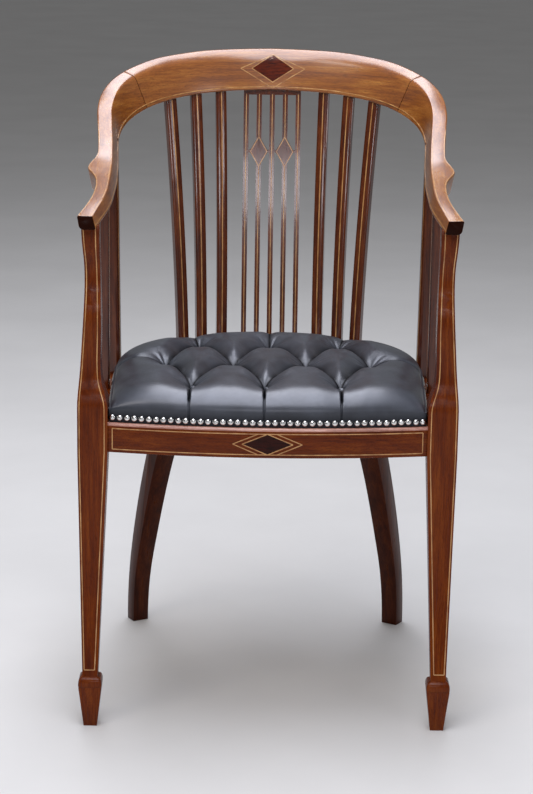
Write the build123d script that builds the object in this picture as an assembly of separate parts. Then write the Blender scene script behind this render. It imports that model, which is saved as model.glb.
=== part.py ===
"""Inlaid mahogany open armchair with a buttoned leather seat.

Millimetres, Z up, the sitter faces -Y, and the floor is Z = 0.
Depths are given as distances behind the front faces of the front legs.
"""

import os
from math import asin, atan2, cos, degrees, pi, radians, sin, sqrt, tan

from build123d import *

# Heights
rail_bottom = 388.0
rail_top = 428.0
tack_top = 441.0
crest_top = 878.0
crest_tall = 64.0
arm_tip_top = 704.0

# Depths
front_face_y = -232.0
seat_back_depth = 408.0
crest_depth = 462.0

# Seat frame: its middle line is the line on which the slats stand
seat_half = 227.0
seat_corner_radius = 140.0
seat_back_radius = 290.0
rail_outside = 11.0
rail_inside = 26.0
front_bow = 20.0
front_rail_depth = 3.0
front_rail_thick = 26.0
ledge = 5.0
rail_arris = 3.5
tack_inside = 24.0

# Top rail
top_half = 226.0
top_corner_radius = 150.0
top_back_radius = 280.0
scarf_half = 193.0
ear_span = (0.639, 0.827)
lean = 13.0
crest_steps = 8
arm_steps = (8, 13, 5)

# Front legs
leg_outer = 251.0
leg_size = 40.0
ankle_size = 20.5
foot_inset = 15.0
foot_centre_depth = 15.0
spade_size = 31.0
spade_toe = 18.0
spade_height = 57.0
ankle_height = 70.0
post_start = 446.0
arm_seat_inset = 16.5
arm_seat_depth = 24.0
arm_seat_height = 683.0

# Rear legs
rear_leg_half = 149.0
rear_leg_wide = 33.0
rear_leg_proud = 1.0
rear_foot_wide = 25.0
rear_foot_reach = 91.5
rear_foot_thick = 20.0
rear_back_curve = ((0.345, 8.3), (0.709, 54.5))
rear_front_curve = ((0.345, 33.3), (0.709, 85.5))

# Slats and splat
slat_wide = 15.0
slat_thick = 12.0
slat_curve = 6.0
slat_housing = 10.0
back_slat_feet = (71.0, 100.0, 126.0)
back_slat_heads = (76.6, 113.0, 150.0)
side_slat_feet = (195.0, 285.0)
side_slat_heads = (190.0, 288.0)
side_slat_shift = (1.0, -2.0)
back_slat_shift = -1.5
splat_pitch = 19.0
splat_bar = 7.4
splat_thick = 9.0
splat_diamond_wide = 27.0
splat_diamond_tall = 46.0
splat_diamond_drop = 86.5
splat_link = 3.0
splat_cross_bar = 5.0

# Joints
tenon_thick = 10.0
front_tenon_long = 20.0
side_tenon_long = 16.0
tenon_margin = 6.0
rear_tenon_long = 8.0
tongue_long = 30.0
tongue_thick = 7.0
tongue_tall = 26.0
post_tenon_wide = 10.0
post_tenon_deep = 14.0
post_tenon_rise = 9.0
fit_gap = 0.15
end_gap = 0.5

# Inlay
string_wide = 1.3
inlay_deep = 1.0
rail_string_half = 205.5
rail_string_margins = (4.0, 6.6)
rail_lozenge_half = 34.7
rail_lozenge_frame = 47.0
crest_lozenge_half = 31.0
crest_lozenge_tall = 19.5
crest_lozenge_drop = 31.0
crest_lozenge_frame = 47.6
crest_string_drops = (59.0, 12.0)

# Seat
leather_offset = 10.0
leather_thick = 2.0
leather_leg_gap = 1.5
seat_crown = 474.0
crown_run = 66.0
crown_ease = 2.0
crown_steps = 6
crown_corner_steps = 6
pad_inset = 14.0
pad_thick = 8.0
tuft_bottom = 457.0
tuft_rim = 20.0
tuft_root = 6.2
pleat_bottom = 464.0
pleat_end = 447.0
pleat_half = 7.0
button_radius = 5.8
button_rise = 3.0
tuft_rows = ((88.0, (-100, 0, 100)), (205.0, (-142, -50, 50, 142)), (317.0, (-101, 0, 101)))
web_wide = 50.0
web_thick = 1.5
web_places = (-120, -40, 40, 120)
web_depths = (75, 155, 235, 315)
web_lap = 2.0
hessian_thick = 1.0
nail_pitch = 9.9
nail_radius = 4.6
nail_top_radius = 2.2
nail_rise = 2.4

# Corner blocks
block_bottom = 393.0
block_top = 423.0
block_leg = 62.0
block_seat = 12.0
rear_block_half = 44.0
rear_block_thick = 18.0
screw_place = 30.0
screw_radius = 2.2
screw_head_radius = 4.2
screw_head_long = 2.6
screw_long = 34.0
screw_sink = 3.0

# Longer than any cut through the chair
through = 900.0


def at_depth(depth):
    """Y of a point that lies a distance behind the front faces of the legs."""
    return front_face_y + depth


def save(name, shape):
    """Write one node."""
    shape.label = name
    export_step(shape, os.path.join("parts", name + ".step"))


def mirrored(shape):
    """The same piece on the other side of the chair."""
    return mirror(shape, about=Plane.YZ)


class Horseshoe:
    """Plan line of two straight sides, two corner arcs and one back arc, all tangent."""

    def __init__(self, half, corner_radius, back_radius, back_depth):
        self.half = half
        self.corner = corner_radius
        self.back = back_radius
        self.back_y = at_depth(back_depth)
        self.turn = degrees(asin((half - corner_radius) / (back_radius - corner_radius)))
        rise = sqrt((back_radius - corner_radius) ** 2 - (half - corner_radius) ** 2)
        self.side_y = self.back_y - back_radius + rise

    def point(self, angle, offset=0.0):
        """Point at an angle from straight back, moved outward by an offset."""
        a = radians(angle)
        if abs(angle) <= self.turn:
            return ((self.back + offset) * sin(a), self.back_y - self.back + (self.back + offset) * cos(a))
        side = 1 if angle > 0 else -1
        centre = side * (self.half - self.corner)
        return (centre + (self.corner + offset) * sin(a), self.side_y + (self.corner + offset) * cos(a))

    def along(self, distance):
        """Point and outward direction at a distance along the right half from straight back."""
        back_run = self.back * radians(self.turn)
        corner_run = self.corner * radians(90 - self.turn)
        if distance >= back_run + corner_run:
            return (self.half, self.side_y - distance + back_run + corner_run), (1.0, 0.0)
        angle = degrees(distance / self.back)
        if distance > back_run:
            angle = self.turn + degrees((distance - back_run) / self.corner)
        return self.point(angle), (sin(radians(angle)), cos(radians(angle)))

    def distance_at(self, angle):
        """Distance along the right half to an angle on the curved part."""
        turned = radians(max(angle - self.turn, 0))
        return self.back * radians(min(angle, self.turn)) + self.corner * turned

    def angle_at(self, x):
        """Angle at which the line passes a given X on its curved part."""
        if abs(x) <= self.point(self.turn)[0]:
            return degrees(asin(x / self.back))
        side = 1 if x > 0 else -1
        return side * degrees(asin((abs(x) - self.half + self.corner) / self.corner))

    def side_point(self, y):
        """Point of the right side or corner at a given Y."""
        if y <= self.side_y:
            return (self.half, y)
        return self.point(90 - degrees(asin((y - self.side_y) / self.corner)))

    def path(self, offset, front_y):
        """Edges from the left front end round the back to the right front end."""
        def arc(first, last):
            middle = (first + last) / 2
            return ThreePointArc(*[self.point(a, offset) for a in (first, middle, last)])

        side = self.half + offset
        edge = 90 - 1e-9
        return [
            Line((-side, front_y), (-side, self.side_y)),
            arc(-edge, -self.turn - 1e-9),
            arc(-self.turn, self.turn),
            arc(self.turn + 1e-9, edge),
            Line((side, self.side_y), (side, front_y)),
        ]


seat_line = Horseshoe(seat_half, seat_corner_radius, seat_back_radius, seat_back_depth)
top_line = Horseshoe(top_half, top_corner_radius, top_back_radius, crest_depth)
leg_inner = leg_outer - leg_size
crest_bottom = crest_top - crest_tall
splat_diamond_height = crest_bottom - splat_diamond_drop
leather_front_half = leg_inner - leather_leg_gap
foot_centre_x = leg_outer - foot_inset
arm_seat_x = leg_outer - arm_seat_inset
bow_radius = (leg_inner**2 + front_bow**2) / (2 * front_bow)
bow_centre_y = at_depth(front_rail_depth - front_bow) + bow_radius
rear_angle = seat_line.angle_at(rear_leg_half)
scarf_reach = top_line.distance_at(top_line.angle_at(scarf_half))
arm_reach = top_line.distance_at(90) + top_line.side_y - front_face_y


def bow_point(x, inset):
    """Point on the front rail's bow, moved back into the rail by an inset."""
    radius = bow_radius - inset
    return (x, bow_centre_y - sqrt(radius**2 - x**2))


def bow_arc(x, inset):
    """Bow from one X to its mirror image."""
    return ThreePointArc(bow_point(x, inset), bow_point(0, inset), bow_point(-x, inset))


def outline(*edges):
    """Face inside a closed run of edges."""
    return make_face(edges)


def raised(face, low, high):
    """A plan face drawn at Z = 0, pulled up between two heights."""
    return extrude(Pos(0, 0, low) * face, high - low, dir=(0, 0, 1))


def group(shapes):
    """Separate solids that make one node."""
    return Compound([solid for shape in shapes for solid in shape.solids()])


def main_solid(shape):
    """Largest solid of a cut piece."""
    return max(shape.solids(), key=lambda solid: solid.volume)


def front_cut(face):
    """Shape drawn from the front, pulled through the chair."""
    return extrude(Pos(0, -through / 2, 0) * (Plane.XZ * face), through, dir=(0, 1, 0))


def block(x, y, z):
    """Box between three pairs of limits."""
    return Pos(sum(x) / 2, sum(y) / 2, sum(z) / 2) * Box(x[1] - x[0], y[1] - y[0], z[1] - z[0])


# Top rail sections


def rounded_section(corners, radii, steps, place):
    """Four-cornered section with its corners rounded in flat steps, mapped into space by place."""
    points = []
    for i, corner in enumerate(corners):
        here = Vector(*corner)
        before = (Vector(*corners[i - 1]) - here).normalized()
        after = (Vector(*corners[(i + 1) % len(corners)]) - here).normalized()
        angle = radians(before.get_angle(after))
        middle = here + (before + after).normalized() * (radii[i] / sin(angle / 2))
        start = here + before * (radii[i] / tan(angle / 2)) - middle
        for step in range(steps[i] + 1):
            turn = degrees(angle - pi) * step / steps[i]
            points.append(place(middle + start.rotate(Axis.Z, turn)))
    return Face(Wire.make_polygon(points))


def smooth(pairs, at):
    """Value read from (position, value) pairs by a curve that never overshoots them."""
    slopes = [(q[1] - p[1]) / (q[0] - p[0]) for p, q in zip(pairs, pairs[1:])]
    tangents = [slopes[0]]
    for before, after in zip(slopes, slopes[1:]):
        level = before * after <= 0
        tangents.append(0.0 if level else 2 * before * after / (before + after))
    tangents.append(slopes[-1])
    for i, (p, q) in enumerate(zip(pairs, pairs[1:])):
        if at <= q[0]:
            span = q[0] - p[0]
            t = max((at - p[0]) / span, 0.0)
            start = (1 + 2 * t) * (1 - t) ** 2 * p[1] + t * (1 - t) ** 2 * span * tangents[i]
            end = t * t * (3 - 2 * t) * q[1] + t * t * (t - 1) * span * tangents[i + 1]
            return start + end
    return pairs[-1][1]


# Top rail form, by share of the way from straight back to the arm tip
drawn_fall = (
    (0, 0),
    (0.132, 2.4),
    (0.256, 11.0),
    (0.349, 28.5),
    (0.435, 50.0),
    (0.503, 71.5),
    (0.553, 91.5),
    (0.602, 110.5),
    (0.662, 126.5),
    (0.728, 137.5),
    (0.827, 149.5),
    (0.917, 161.0),
    (1, 174.0),
)
# A taller or lower crest changes the fall above the arms, and the arms keep their height over the posts
arm_drop = 149.5
extra_fall = crest_top - arm_tip_top - drawn_fall[-1][1]
rail_drop = tuple((share, drop + extra_fall * min(1, drop / arm_drop)) for share, drop in drawn_fall)
rail_height = (
    (0, crest_tall),
    (0.132, 64.0),
    (0.256, 62.5),
    (0.349, 55.0),
    (0.435, 49.0),
    (0.503, 45.0),
    (0.602, 38.0),
    (0.728, 29.0),
    (0.827, 24.5),
    (0.917, 21.0),
    (1, 18.5),
)
inner_edge = (
    (0, 2.5),
    (0.349, 0.5),
    (0.435, 0.0),
    (0.503, -1.2),
    (0.553, -3.5),
    (0.602, -6.2),
    (0.728, -9.7),
    (0.827, -10.0),
    (0.877, -8.6),
    (1, 3.5),
)
outer_edge = (
    (0, 19.5),
    (0.256, 20.0),
    (0.349, 21.6),
    (0.435, 22.0),
    (0.503, 19.8),
    (0.553, 16.9),
    (0.602, 14.2),
    (0.642, 13.0),
    (0.665, 15.2),
    (0.685, 19.2),
    (0.702, 22.2),
    (0.717, 23.0),
    (0.730, 21.4),
    (0.746, 17.4),
    (0.768, 12.6),
    (0.794, 9.2),
    (0.836, 7.8),
    (0.877, 8.8),
    (0.917, 11.8),
    (0.960, 17.6),
    (1, 24.0),
)
top_roll = ((0, 10.0), (0.25, 9.0), (0.38, 4.0), (0.48, 0.5), (1, 0.5))
top_round = ((0, 20.0), (0.25, 16.0), (0.38, 6.0), (0.48, 1.5), (1, 1.5))
edge_rounds = (2.5, 2.0, 3.5)
edge_steps = (1, 5, 1, 1)
outer_lean_short = 1.0


def rail_sizes(distance):
    """Height of the top, height of the section, and its inner and outer top edges."""
    share = distance / arm_reach
    high = crest_top - smooth(rail_drop, share)
    return high, smooth(rail_height, share), smooth(inner_edge, share), smooth(outer_edge, share)


def rail_section(distance, side=1, skin=0.0):
    """Top rail section square to the middle line; a skin moves its inner face back, the rest out."""
    (x0, y0), (nx, ny) = top_line.along(distance)
    high, tall, inner, outer = rail_sizes(distance)
    slope = tan(radians(lean)) * tall
    share = distance / arm_reach
    roll = smooth(top_roll, share)
    corners = (
        (inner - slope + skin, high - tall),
        (inner + skin, high - roll - skin),
        (outer + skin, high - skin),
        (outer - slope + outer_lean_short + skin, high - tall),
    )
    low_inner, high_outer, low_outer = edge_rounds
    radii = (low_inner, smooth(top_round, share), high_outer, low_outer)
    return rounded_section(
        corners, radii, edge_steps, lambda v: (side * (x0 + v.X * nx), y0 + v.X * ny, v.Y)
    )


def crest_blank(skin=0.0):
    """Crest between the two glue lines."""
    steps = [scarf_reach * i / crest_steps for i in range(crest_steps + 1)]
    left = [rail_section(d, -1, skin) for d in reversed(steps[1:])]
    return loft(left + [rail_section(d, 1, skin) for d in steps], ruled=True)


def arm_blank():
    """Right arm from the glue line to its tip, with closer sections at the ear."""
    start, end = [share * arm_reach for share in ear_span]
    stops = [scarf_reach]
    for last, count in zip((start, end, arm_reach), arm_steps):
        first = stops[-1]
        stops += [first + (last - first) * (i + 1) / count for i in range(count)]
    return loft([rail_section(d) for d in stops], ruled=True)


def tongue(gap=0.0, ends=0.0):
    """Loose tongue across the right glue line between crest and arm."""
    (x, y), (nx, ny) = top_line.along(scarf_reach)
    high, tall, inner, outer = rail_sizes(scarf_reach)
    middle = (inner + outer - tan(radians(lean)) * tall) / 2
    rise = sin(radians(lean))
    place = Plane(
        origin=(x + middle * nx, y + middle * ny, high - tall / 2),
        x_dir=(ny, -nx, 0),
        z_dir=(rise * nx, rise * ny, cos(radians(lean))),
    )
    return place * Box(tongue_long + 2 * ends, tongue_thick + 2 * gap, tongue_tall + 2 * gap)


# Front legs

# Post curves above the seat rail: distance in from the leg's own face, and height above the start
post_outer = ((0, 0), (2.7, 42), (5.6, 82), (8.6, 129), (9.6, 166), (8.8, 199), (6.0, 244))
post_inner = ((0, 0), (3.2, 18), (8.0, 34), (9.6, 50), (9.0, 99), (9.4, 154), (10.6, 204), (11.0, 244))
post_front = ((0, 0), (2.5, 18), (7.5, 36), (9, 54), (7.5, 99), (9.5, 138), (15, 160), (15, 194), (8, 244))
post_back = ((0, 0), (2.0, 44), (3.5, 114), (3.0, 174), (1.5, 244))


def leg_outline(low, high, centre, low_curve, high_curve):
    """Outline of a front leg seen from one side: toe, spade, taper, rail block and shaped post."""
    def level(half, height):
        return [(centre - half, height), (centre + half, height)]

    toe = level(spade_toe / 2, 0)
    spade = level(spade_size / 2, spade_height)
    ankle = level(ankle_size / 2, ankle_height)
    first = [(low + x, post_start + z) for x, z in low_curve]
    last = [(high - x, post_start + z) for x, z in high_curve]
    down = [first[0], (low, rail_bottom), ankle[0], spade[0], toe[0]]
    up = [toe[1], spade[1], ankle[1], (high, rail_bottom), last[0]]
    return outline(
        Polyline(*down, *up),
        Spline(*last, tangents=[(0, 1), (0, 1)]),
        Line(last[-1], first[-1]),
        Spline(*first, tangents=[(0, 1), (0, 1)]),
    )


def front_leg_blank():
    """Right front leg, sawn to one outline from the front and to another from the side."""
    front = leg_outline(leg_inner, leg_outer, foot_centre_x, post_inner, post_outer)
    side = Plane.YZ * leg_outline(0, leg_size, foot_centre_depth, post_front, post_back)
    across = extrude(Pos(foot_centre_x, front_face_y, 0) * side, 2 * leg_size, dir=(1, 0, 0), both=True)
    return front_cut(front) & across


def front_tenon(gap=0.0):
    """Tenon of the front rail in the right leg."""
    middle = at_depth(front_rail_depth + front_rail_thick / 2)
    half = tenon_thick / 2 + gap
    return block(
        (leg_inner - 1, leg_inner + front_tenon_long + gap),
        (middle - half, middle + half),
        (rail_bottom + tenon_margin - gap, rail_top - tenon_margin + gap),
    )


def side_tenon(gap=0.0):
    """Tenon of the right side rail in the front leg."""
    middle = (leg_inner + seat_half + rail_outside) / 2
    half = tenon_thick / 2 + gap
    return block(
        (middle - half, middle + half),
        (at_depth(leg_size - side_tenon_long - gap), at_depth(leg_size + 1)),
        (rail_bottom + tenon_margin - gap, rail_top - tenon_margin + gap),
    )


def post_tenon(gap=0.0):
    """Tenon of the right post in the arm above it, with a root inside the post."""
    half_x = post_tenon_wide / 2 + gap
    half_y = post_tenon_deep / 2 + gap
    y = at_depth(arm_seat_depth)
    return block(
        (arm_seat_x - half_x, arm_seat_x + half_x),
        (y - half_y, y + half_y),
        (arm_seat_height - post_tenon_rise, arm_seat_height + post_tenon_rise + gap),
    )


# Rear legs


def rear_place():
    """Frame of the right rear leg: X along the rail, Y outward, origin under the seat line."""
    x, y = seat_line.point(rear_angle)
    return Pos(x, y, 0) * Rot(0, 0, -rear_angle)


def rear_leg():
    """Right rear leg, swept outward and straightening to the floor."""
    inner = -rail_inside - rear_leg_proud
    outer = rail_outside + rear_leg_proud
    toe = (rear_foot_reach - rear_foot_thick / 2, rear_foot_reach + rear_foot_thick / 2)
    back = [(rear_foot_reach - x, rail_bottom * share) for share, x in rear_back_curve]
    front = [(rear_foot_reach - x, rail_bottom * share) for share, x in rear_front_curve]
    sweep = Plane.YZ * outline(
        Line((toe[0], 0), (toe[1], 0)),
        Spline((toe[1], 0), *back, (outer, rail_bottom), tangents=[(0, 1), (0, 1)]),
        Polyline((outer, rail_bottom), (outer, rail_top), (inner, rail_top), (inner, rail_bottom)),
        Spline((inner, rail_bottom), *reversed(front), (toe[0], 0), tangents=[(0, -1), (0, -1)]),
    )
    half, foot = rear_leg_wide / 2, rear_foot_wide / 2
    corners = [(foot, 0), (half, rail_bottom), (half, rail_top)]
    face = outline(Polyline(*corners, *[(-x, z) for x, z in reversed(corners)], close=True))
    solid = extrude(sweep, half, dir=(1, 0, 0), both=True) & front_cut(face)
    return rear_place() * solid + (tack_ring() & rear_block())


def rear_block():
    """Room that the right rear leg takes in the seat frame."""
    half = rear_leg_wide / 2
    return rear_place() * block((-half, half), (-2 * rail_inside, 2 * rail_inside), (0, through))


def rear_tenons(gap=0.0):
    """Stub tenons of the side and back rails in the right rear leg."""
    half = rear_leg_wide / 2
    middle = (rail_outside - rail_inside) / 2
    thick = tenon_thick / 2 + gap
    stubs = []
    for side in (-1, 1):
        ends = sorted((side * (half - rear_tenon_long - gap), side * (half + 1)))
        stubs.append(
            rear_place()
            * block(
                ends,
                (middle - thick, middle + thick),
                (rail_bottom + tenon_margin - gap, rail_top - tenon_margin + gap),
            )
        )
    return stubs


# Seat rails


def ring(inner, outer, low, high):
    """Band of the seat frame behind the front legs, between two offsets and two heights."""
    front = at_depth(leg_size)
    inside = seat_line.path(inner, front)
    outside = seat_line.path(outer, front)
    ends = [
        Line(inside[0] @ 0, outside[0] @ 0),
        Line(inside[-1] @ 1, outside[-1] @ 1),
    ]
    return raised(outline(*inside, *outside, *ends), low, high)


def tack_ring():
    """Tacking strip on the side and back rails, just inside the leather."""
    strip = ring(-tack_inside, rail_outside, rail_top, tack_top)
    return strip & raised(seat_plan(leather_thick), rail_top, tack_top)


def seat_rails():
    """Back rail and right side rail with their tacking strips and tenons."""
    band = ring(-rail_inside, rail_outside, rail_bottom, rail_top)
    parts = (band + tack_ring()) - rear_block() - mirrored(rear_block())
    _, back, right = sorted(parts.solids(), key=lambda piece: piece.center().X)
    toward_back, toward_side = rear_tenons()
    right = right + toward_side + side_tenon()
    back = back + toward_back + mirrored(toward_back)
    return back, right


def bow_band(half, first, last):
    """Plan of a band of the front rail between two insets from its bow."""
    sides = [Line(bow_point(x, first), bow_point(x, last)) for x in (-half, half)]
    return outline(bow_arc(half, first), bow_arc(half, last), *sides)


def front_rail_blank():
    """Bow front rail with tenons and tacking strip."""
    strip = bow_band(leather_front_half - leather_thick, ledge + leather_thick, front_rail_thick)
    rail = raised(bow_band(leg_inner, 0, front_rail_thick), rail_bottom, rail_top)
    top_edges = rail.edges().filter_by(GeomType.CIRCLE).group_by(Axis.Z)[-1]
    rail = chamfer(top_edges.sort_by(Axis.Y)[0], rail_arris)
    return rail + raised(strip, rail_top, tack_top) + front_tenon() + mirrored(front_tenon())


# Inlay on the front rail and the crest


def lozenge(half_wide, half_tall, height):
    """Lozenge drawn from the front, with its middle at a height."""
    corners = ((-half_wide, 0), (0, -half_tall), (half_wide, 0), (0, half_tall))
    return Pos(0, height) * outline(Polyline(*corners, close=True))


def inner_lozenge(half_wide, half_tall, height):
    """Lozenge inside the string that follows a larger lozenge."""
    less = string_wide / sin(atan2(half_tall, half_wide))
    return lozenge(half_wide - less, half_tall * (1 - less / half_wide), height)


def lozenge_strings(half_wide, half_tall, frame_half, height, span):
    """String round a lozenge, and a wider one that stops at a span of heights."""
    frame_tall = half_tall * frame_half / half_wide
    field = Pos(0, sum(span) / 2) * Rectangle(4 * frame_half, span[1] - span[0])
    edge = lozenge(half_wide, half_tall, height) - inner_lozenge(half_wide, half_tall, height)
    frame = lozenge(frame_half, frame_tall, height) - inner_lozenge(frame_half, frame_tall, height)
    return edge + (frame & field)


def front_rail_inlay():
    """Lozenge and string of the front rail."""
    low, high = rail_bottom + rail_string_margins[0], rail_top - rail_string_margins[1]
    middle, tall = (low + high) / 2, (high - low - string_wide) / 2
    skin = raised(bow_band(leg_inner - 1, 0, inlay_deep), rail_bottom, rail_top)
    border = Rectangle(2 * rail_string_half, high - low)
    border = border - Rectangle(2 * (rail_string_half - string_wide), high - low - 2 * string_wide)
    strings = lozenge_strings(rail_lozenge_half, tall, rail_lozenge_frame, middle, (low, high))
    strings = strings + Pos(0, middle) * border
    diamond = inner_lozenge(rail_lozenge_half, tall, middle)
    return [front_cut(face) & skin for face in (diamond, strings)]


def crest_inlay(crest):
    """Lozenge and string of the crest."""
    sizes = crest_lozenge_half, crest_lozenge_tall
    height = crest_top - crest_lozenge_drop
    span = [crest_top - drop for drop in crest_string_drops]
    diamond = inner_lozenge(*sizes, height)
    strings = lozenge_strings(*sizes, crest_lozenge_frame, height, span)
    core = crest_blank(inlay_deep)
    return [(crest & front_cut(face)) - core for face in (diamond, strings)]


# Slats


def slat(foot, head, outward, curve, wide, first, last, ends=0.0):
    """Bar from foot to head between two offsets outward, curved toward the sitter."""
    foot, head = Vector(*foot), Vector(*head)
    up = (head - foot).normalized()
    out = Vector(*outward)
    out = (out - up * out.dot(up)).normalized()
    across = up.cross(out)
    long = (head - foot).length
    low, middle, high = -ends, long / 2, long + ends
    if curve:
        inside = ThreePointArc((low, first), (middle, first - curve), (high, first))
        outside = ThreePointArc((high, last), (middle, last - curve), (low, last))
    else:
        inside = Line((low, first), (high, first))
        outside = Line((high, last), (low, last))
    tips = Line((high, first), (high, last)), Line((low, last), (low, first))
    plane = Plane(origin=foot, x_dir=up, z_dir=across)
    return extrude(plane * outline(inside, outside, *tips), wide / 2, both=True)


def slat_room(place, wide, thick):
    """Housings for the ends of a slat."""
    half = thick / 2 + fit_gap
    return slat(*place, wide + 2 * fit_gap, -half, half, end_gap)


def seat_slat(foot, reach, shift, curve):
    """Foot in the seat rail, head in the top rail at a reach along it, and how the slat faces."""
    (x, y), (nx, ny) = top_line.along(reach)
    high, tall, _, _ = rail_sizes(reach)
    head = (x + shift * nx, y + shift * ny, high - tall + slat_housing)
    return (*foot, rail_top - slat_housing), head, (nx, ny, 0), curve


def slat_places():
    """Placing of every slat on the right."""
    places = {}
    for i, (low, high) in enumerate(zip(back_slat_feet, back_slat_heads), 1):
        foot = seat_line.point(seat_line.angle_at(low))
        reach = top_line.distance_at(top_line.angle_at(high))
        places[f"back_slat_right_{i}"] = seat_slat(foot, reach, back_slat_shift, slat_curve)
    sides = zip(side_slat_feet, side_slat_heads, side_slat_shift)
    for i, (low, high, shift) in enumerate(sides, 1):
        foot = seat_line.side_point(at_depth(low))
        places[f"side_slat_right_{i}"] = seat_slat(foot, arm_reach - high, shift, 0)
    return places


def splat_face():
    """Outline of the pierced splat: five bars, two lozenges, links and a cross bar."""
    foot, head = splat_heights
    half = 2 * splat_pitch + splat_bar / 2
    pieces = []
    for i in range(-2, 3):
        pieces.append(Pos(i * splat_pitch, (foot + head) / 2) * Rectangle(splat_bar, head - foot))
    for side in (-1, 1):
        wide, tall = splat_diamond_wide / 2, splat_diamond_tall / 2
        shape = outline(Polyline((-wide, 0), (0, -tall), (wide, 0), (0, tall), close=True))
        pieces.append(Pos(side * splat_pitch, splat_diamond_height) * shape)
    pieces.append(Pos(0, splat_diamond_height) * Rectangle(2 * half, splat_link))
    low = head - slat_housing - splat_cross_bar / 2
    pieces.append(Pos(0, low) * Rectangle(2 * half, splat_cross_bar))
    pieces.append(Pos(0, foot + slat_housing) * Rectangle(2 * half, 2 * slat_housing))
    pieces.append(Pos(0, head - slat_housing / 2) * Rectangle(2 * half, slat_housing))
    face = pieces[0]
    for piece in pieces[1:]:
        face = face + piece
    return face


splat_heights = (rail_top - slat_housing, crest_bottom + slat_housing)
splat_wide = 4 * splat_pitch + splat_bar
splat_place = (
    (0, seat_line.back_y, splat_heights[0]),
    (0, top_line.back_y + back_slat_shift, splat_heights[1]),
    (0, 1, 0),
    slat_curve,
)


def splat():
    """Pierced splat, sawn from the front and shaped to the slats' curve from the side."""
    side = slat(*splat_place, splat_wide + splat_bar, -splat_thick / 2, splat_thick / 2)
    return side & front_cut(splat_face())


# Seat


def seat_plan(inset=0.0):
    """Plan of the leather's edge, drawn in by an inset."""
    half, behind = leather_front_half - inset, ledge + inset
    _, left, back, right, _ = seat_line.path(-leather_offset - inset, 0)
    return outline(
        bow_arc(half, behind),
        Line(bow_point(-half, behind), left @ 0),
        left,
        back,
        right,
        Line(right @ 1, bow_point(half, behind)),
    )


def pleat(start, end):
    """V cut between two points on the bottom of a pleat."""
    start, end = Vector(*start), Vector(*end)
    along = (end - start).normalized()
    rise = 3 * (seat_crown - pleat_bottom)
    place = Plane(origin=start, x_dir=Vector(0, 0, 1).cross(along), z_dir=along)
    corners = ((0, 0), (3 * pleat_half, rise), (-3 * pleat_half, rise))
    return extrude(place * outline(Polyline(*corners, close=True)), (end - start).length)


def tufts():
    """Every tuft as X and Y."""
    return [[(x, at_depth(depth)) for x in row] for depth, row in tuft_rows]


def pleats():
    """Pleats between neighbouring rows, and from the outer tufts to the edges."""
    front, middle, back = tufts()
    cuts = []
    for row in (front, back):
        for i, tuft in enumerate(row):
            for other in middle[i:i + 2]:
                cuts.append(pleat((*tuft, pleat_bottom), (*other, pleat_bottom)))
    ends = [(tuft, bow_point(tuft[0], 0)) for tuft in front]
    ends += [(tuft, seat_line.point(seat_line.angle_at(tuft[0]))) for tuft in back]
    ends += [(middle[0], (-seat_half, middle[0][1])), (middle[-1], (seat_half, middle[-1][1]))]
    return cuts + [pleat((*tuft, pleat_bottom), (*edge, pleat_end)) for tuft, edge in ends]


def crown_ring(inset, height):
    """Corners of the crown at a height, drawn in by an inset and spaced in flat steps."""
    half, behind = leather_front_half - inset, ledge + inset
    count = crown_corner_steps
    turns = [seat_line.turn * i / count for i in range(count)]
    turns += [seat_line.turn + (90 - seat_line.turn) * i / count for i in range(count + 1)]
    right = [seat_line.point(turn, -leather_offset - inset) for turn in turns]
    right += [bow_point(half * i / count, behind) for i in range(count, 0, -2)]
    left = [(-x, y) for x, y in reversed(right[1:])]
    return [Vector(x, y, height) for x, y in [*right, bow_point(0, behind), *left]]


def flat_faces(corners):
    """One face through four corners that lie flat, or else two."""
    a, b, c, d = corners
    loops = [(a, b, c, d)] if abs((b - a).cross(c - a).dot(d - a)) < 1e-6 else [(a, b, c), (a, c, d)]
    return [Face(Wire.make_polygon(loop)) for loop in loops]


def crown():
    """Crown above the nailed band, drawn in along a full round."""
    rings = []
    for i in range(crown_steps + 1):
        turn = pi / 2 * i / crown_steps
        height = tack_top + (seat_crown - tack_top) * sin(turn)
        inset = crown_run * (1 - cos(turn)) + crown_ease * sin(2 * turn)
        rings.append(crown_ring(inset, height))
    faces = [Face(Wire.make_polygon(ring)) for ring in (rings[0], rings[-1])]
    for low, high in zip(rings, rings[1:]):
        for i in range(len(low)):
            faces += flat_faces((low[i - 1], low[i], high[i], high[i - 1]))
    return Part() + Solid(Shell(faces))


def leather_cover():
    """Stuffed leather cover: straight nailed band, drawn-in crown, tufts and pleats, hollow below."""
    deep = seat_crown - tuft_bottom
    pit = Pos(0, 0, seat_crown) * (Rot(180, 0, 0) * dome_head(8, tuft_rim, tuft_root, deep))
    pits = [Pos(*tuft, 0) * pit for row in tufts() for tuft in row]
    hollow = raised(seat_plan(leather_thick), rail_top, pad_bottom)
    band = raised(seat_plan(), rail_top, tack_top)
    return (crown() + band) - pleats() - pits - hollow - hair_pad()


web_bottom = tack_top
hessian_bottom = web_bottom + 2 * web_thick
pad_bottom = hessian_bottom + hessian_thick


def hair_pad():
    """First stuffing, under the leather."""
    return raised(seat_plan(pad_inset), pad_bottom, pad_bottom + pad_thick)


def hessian():
    """Sacking over the webbing."""
    return raised(seat_plan(leather_thick), hessian_bottom, pad_bottom)


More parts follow.
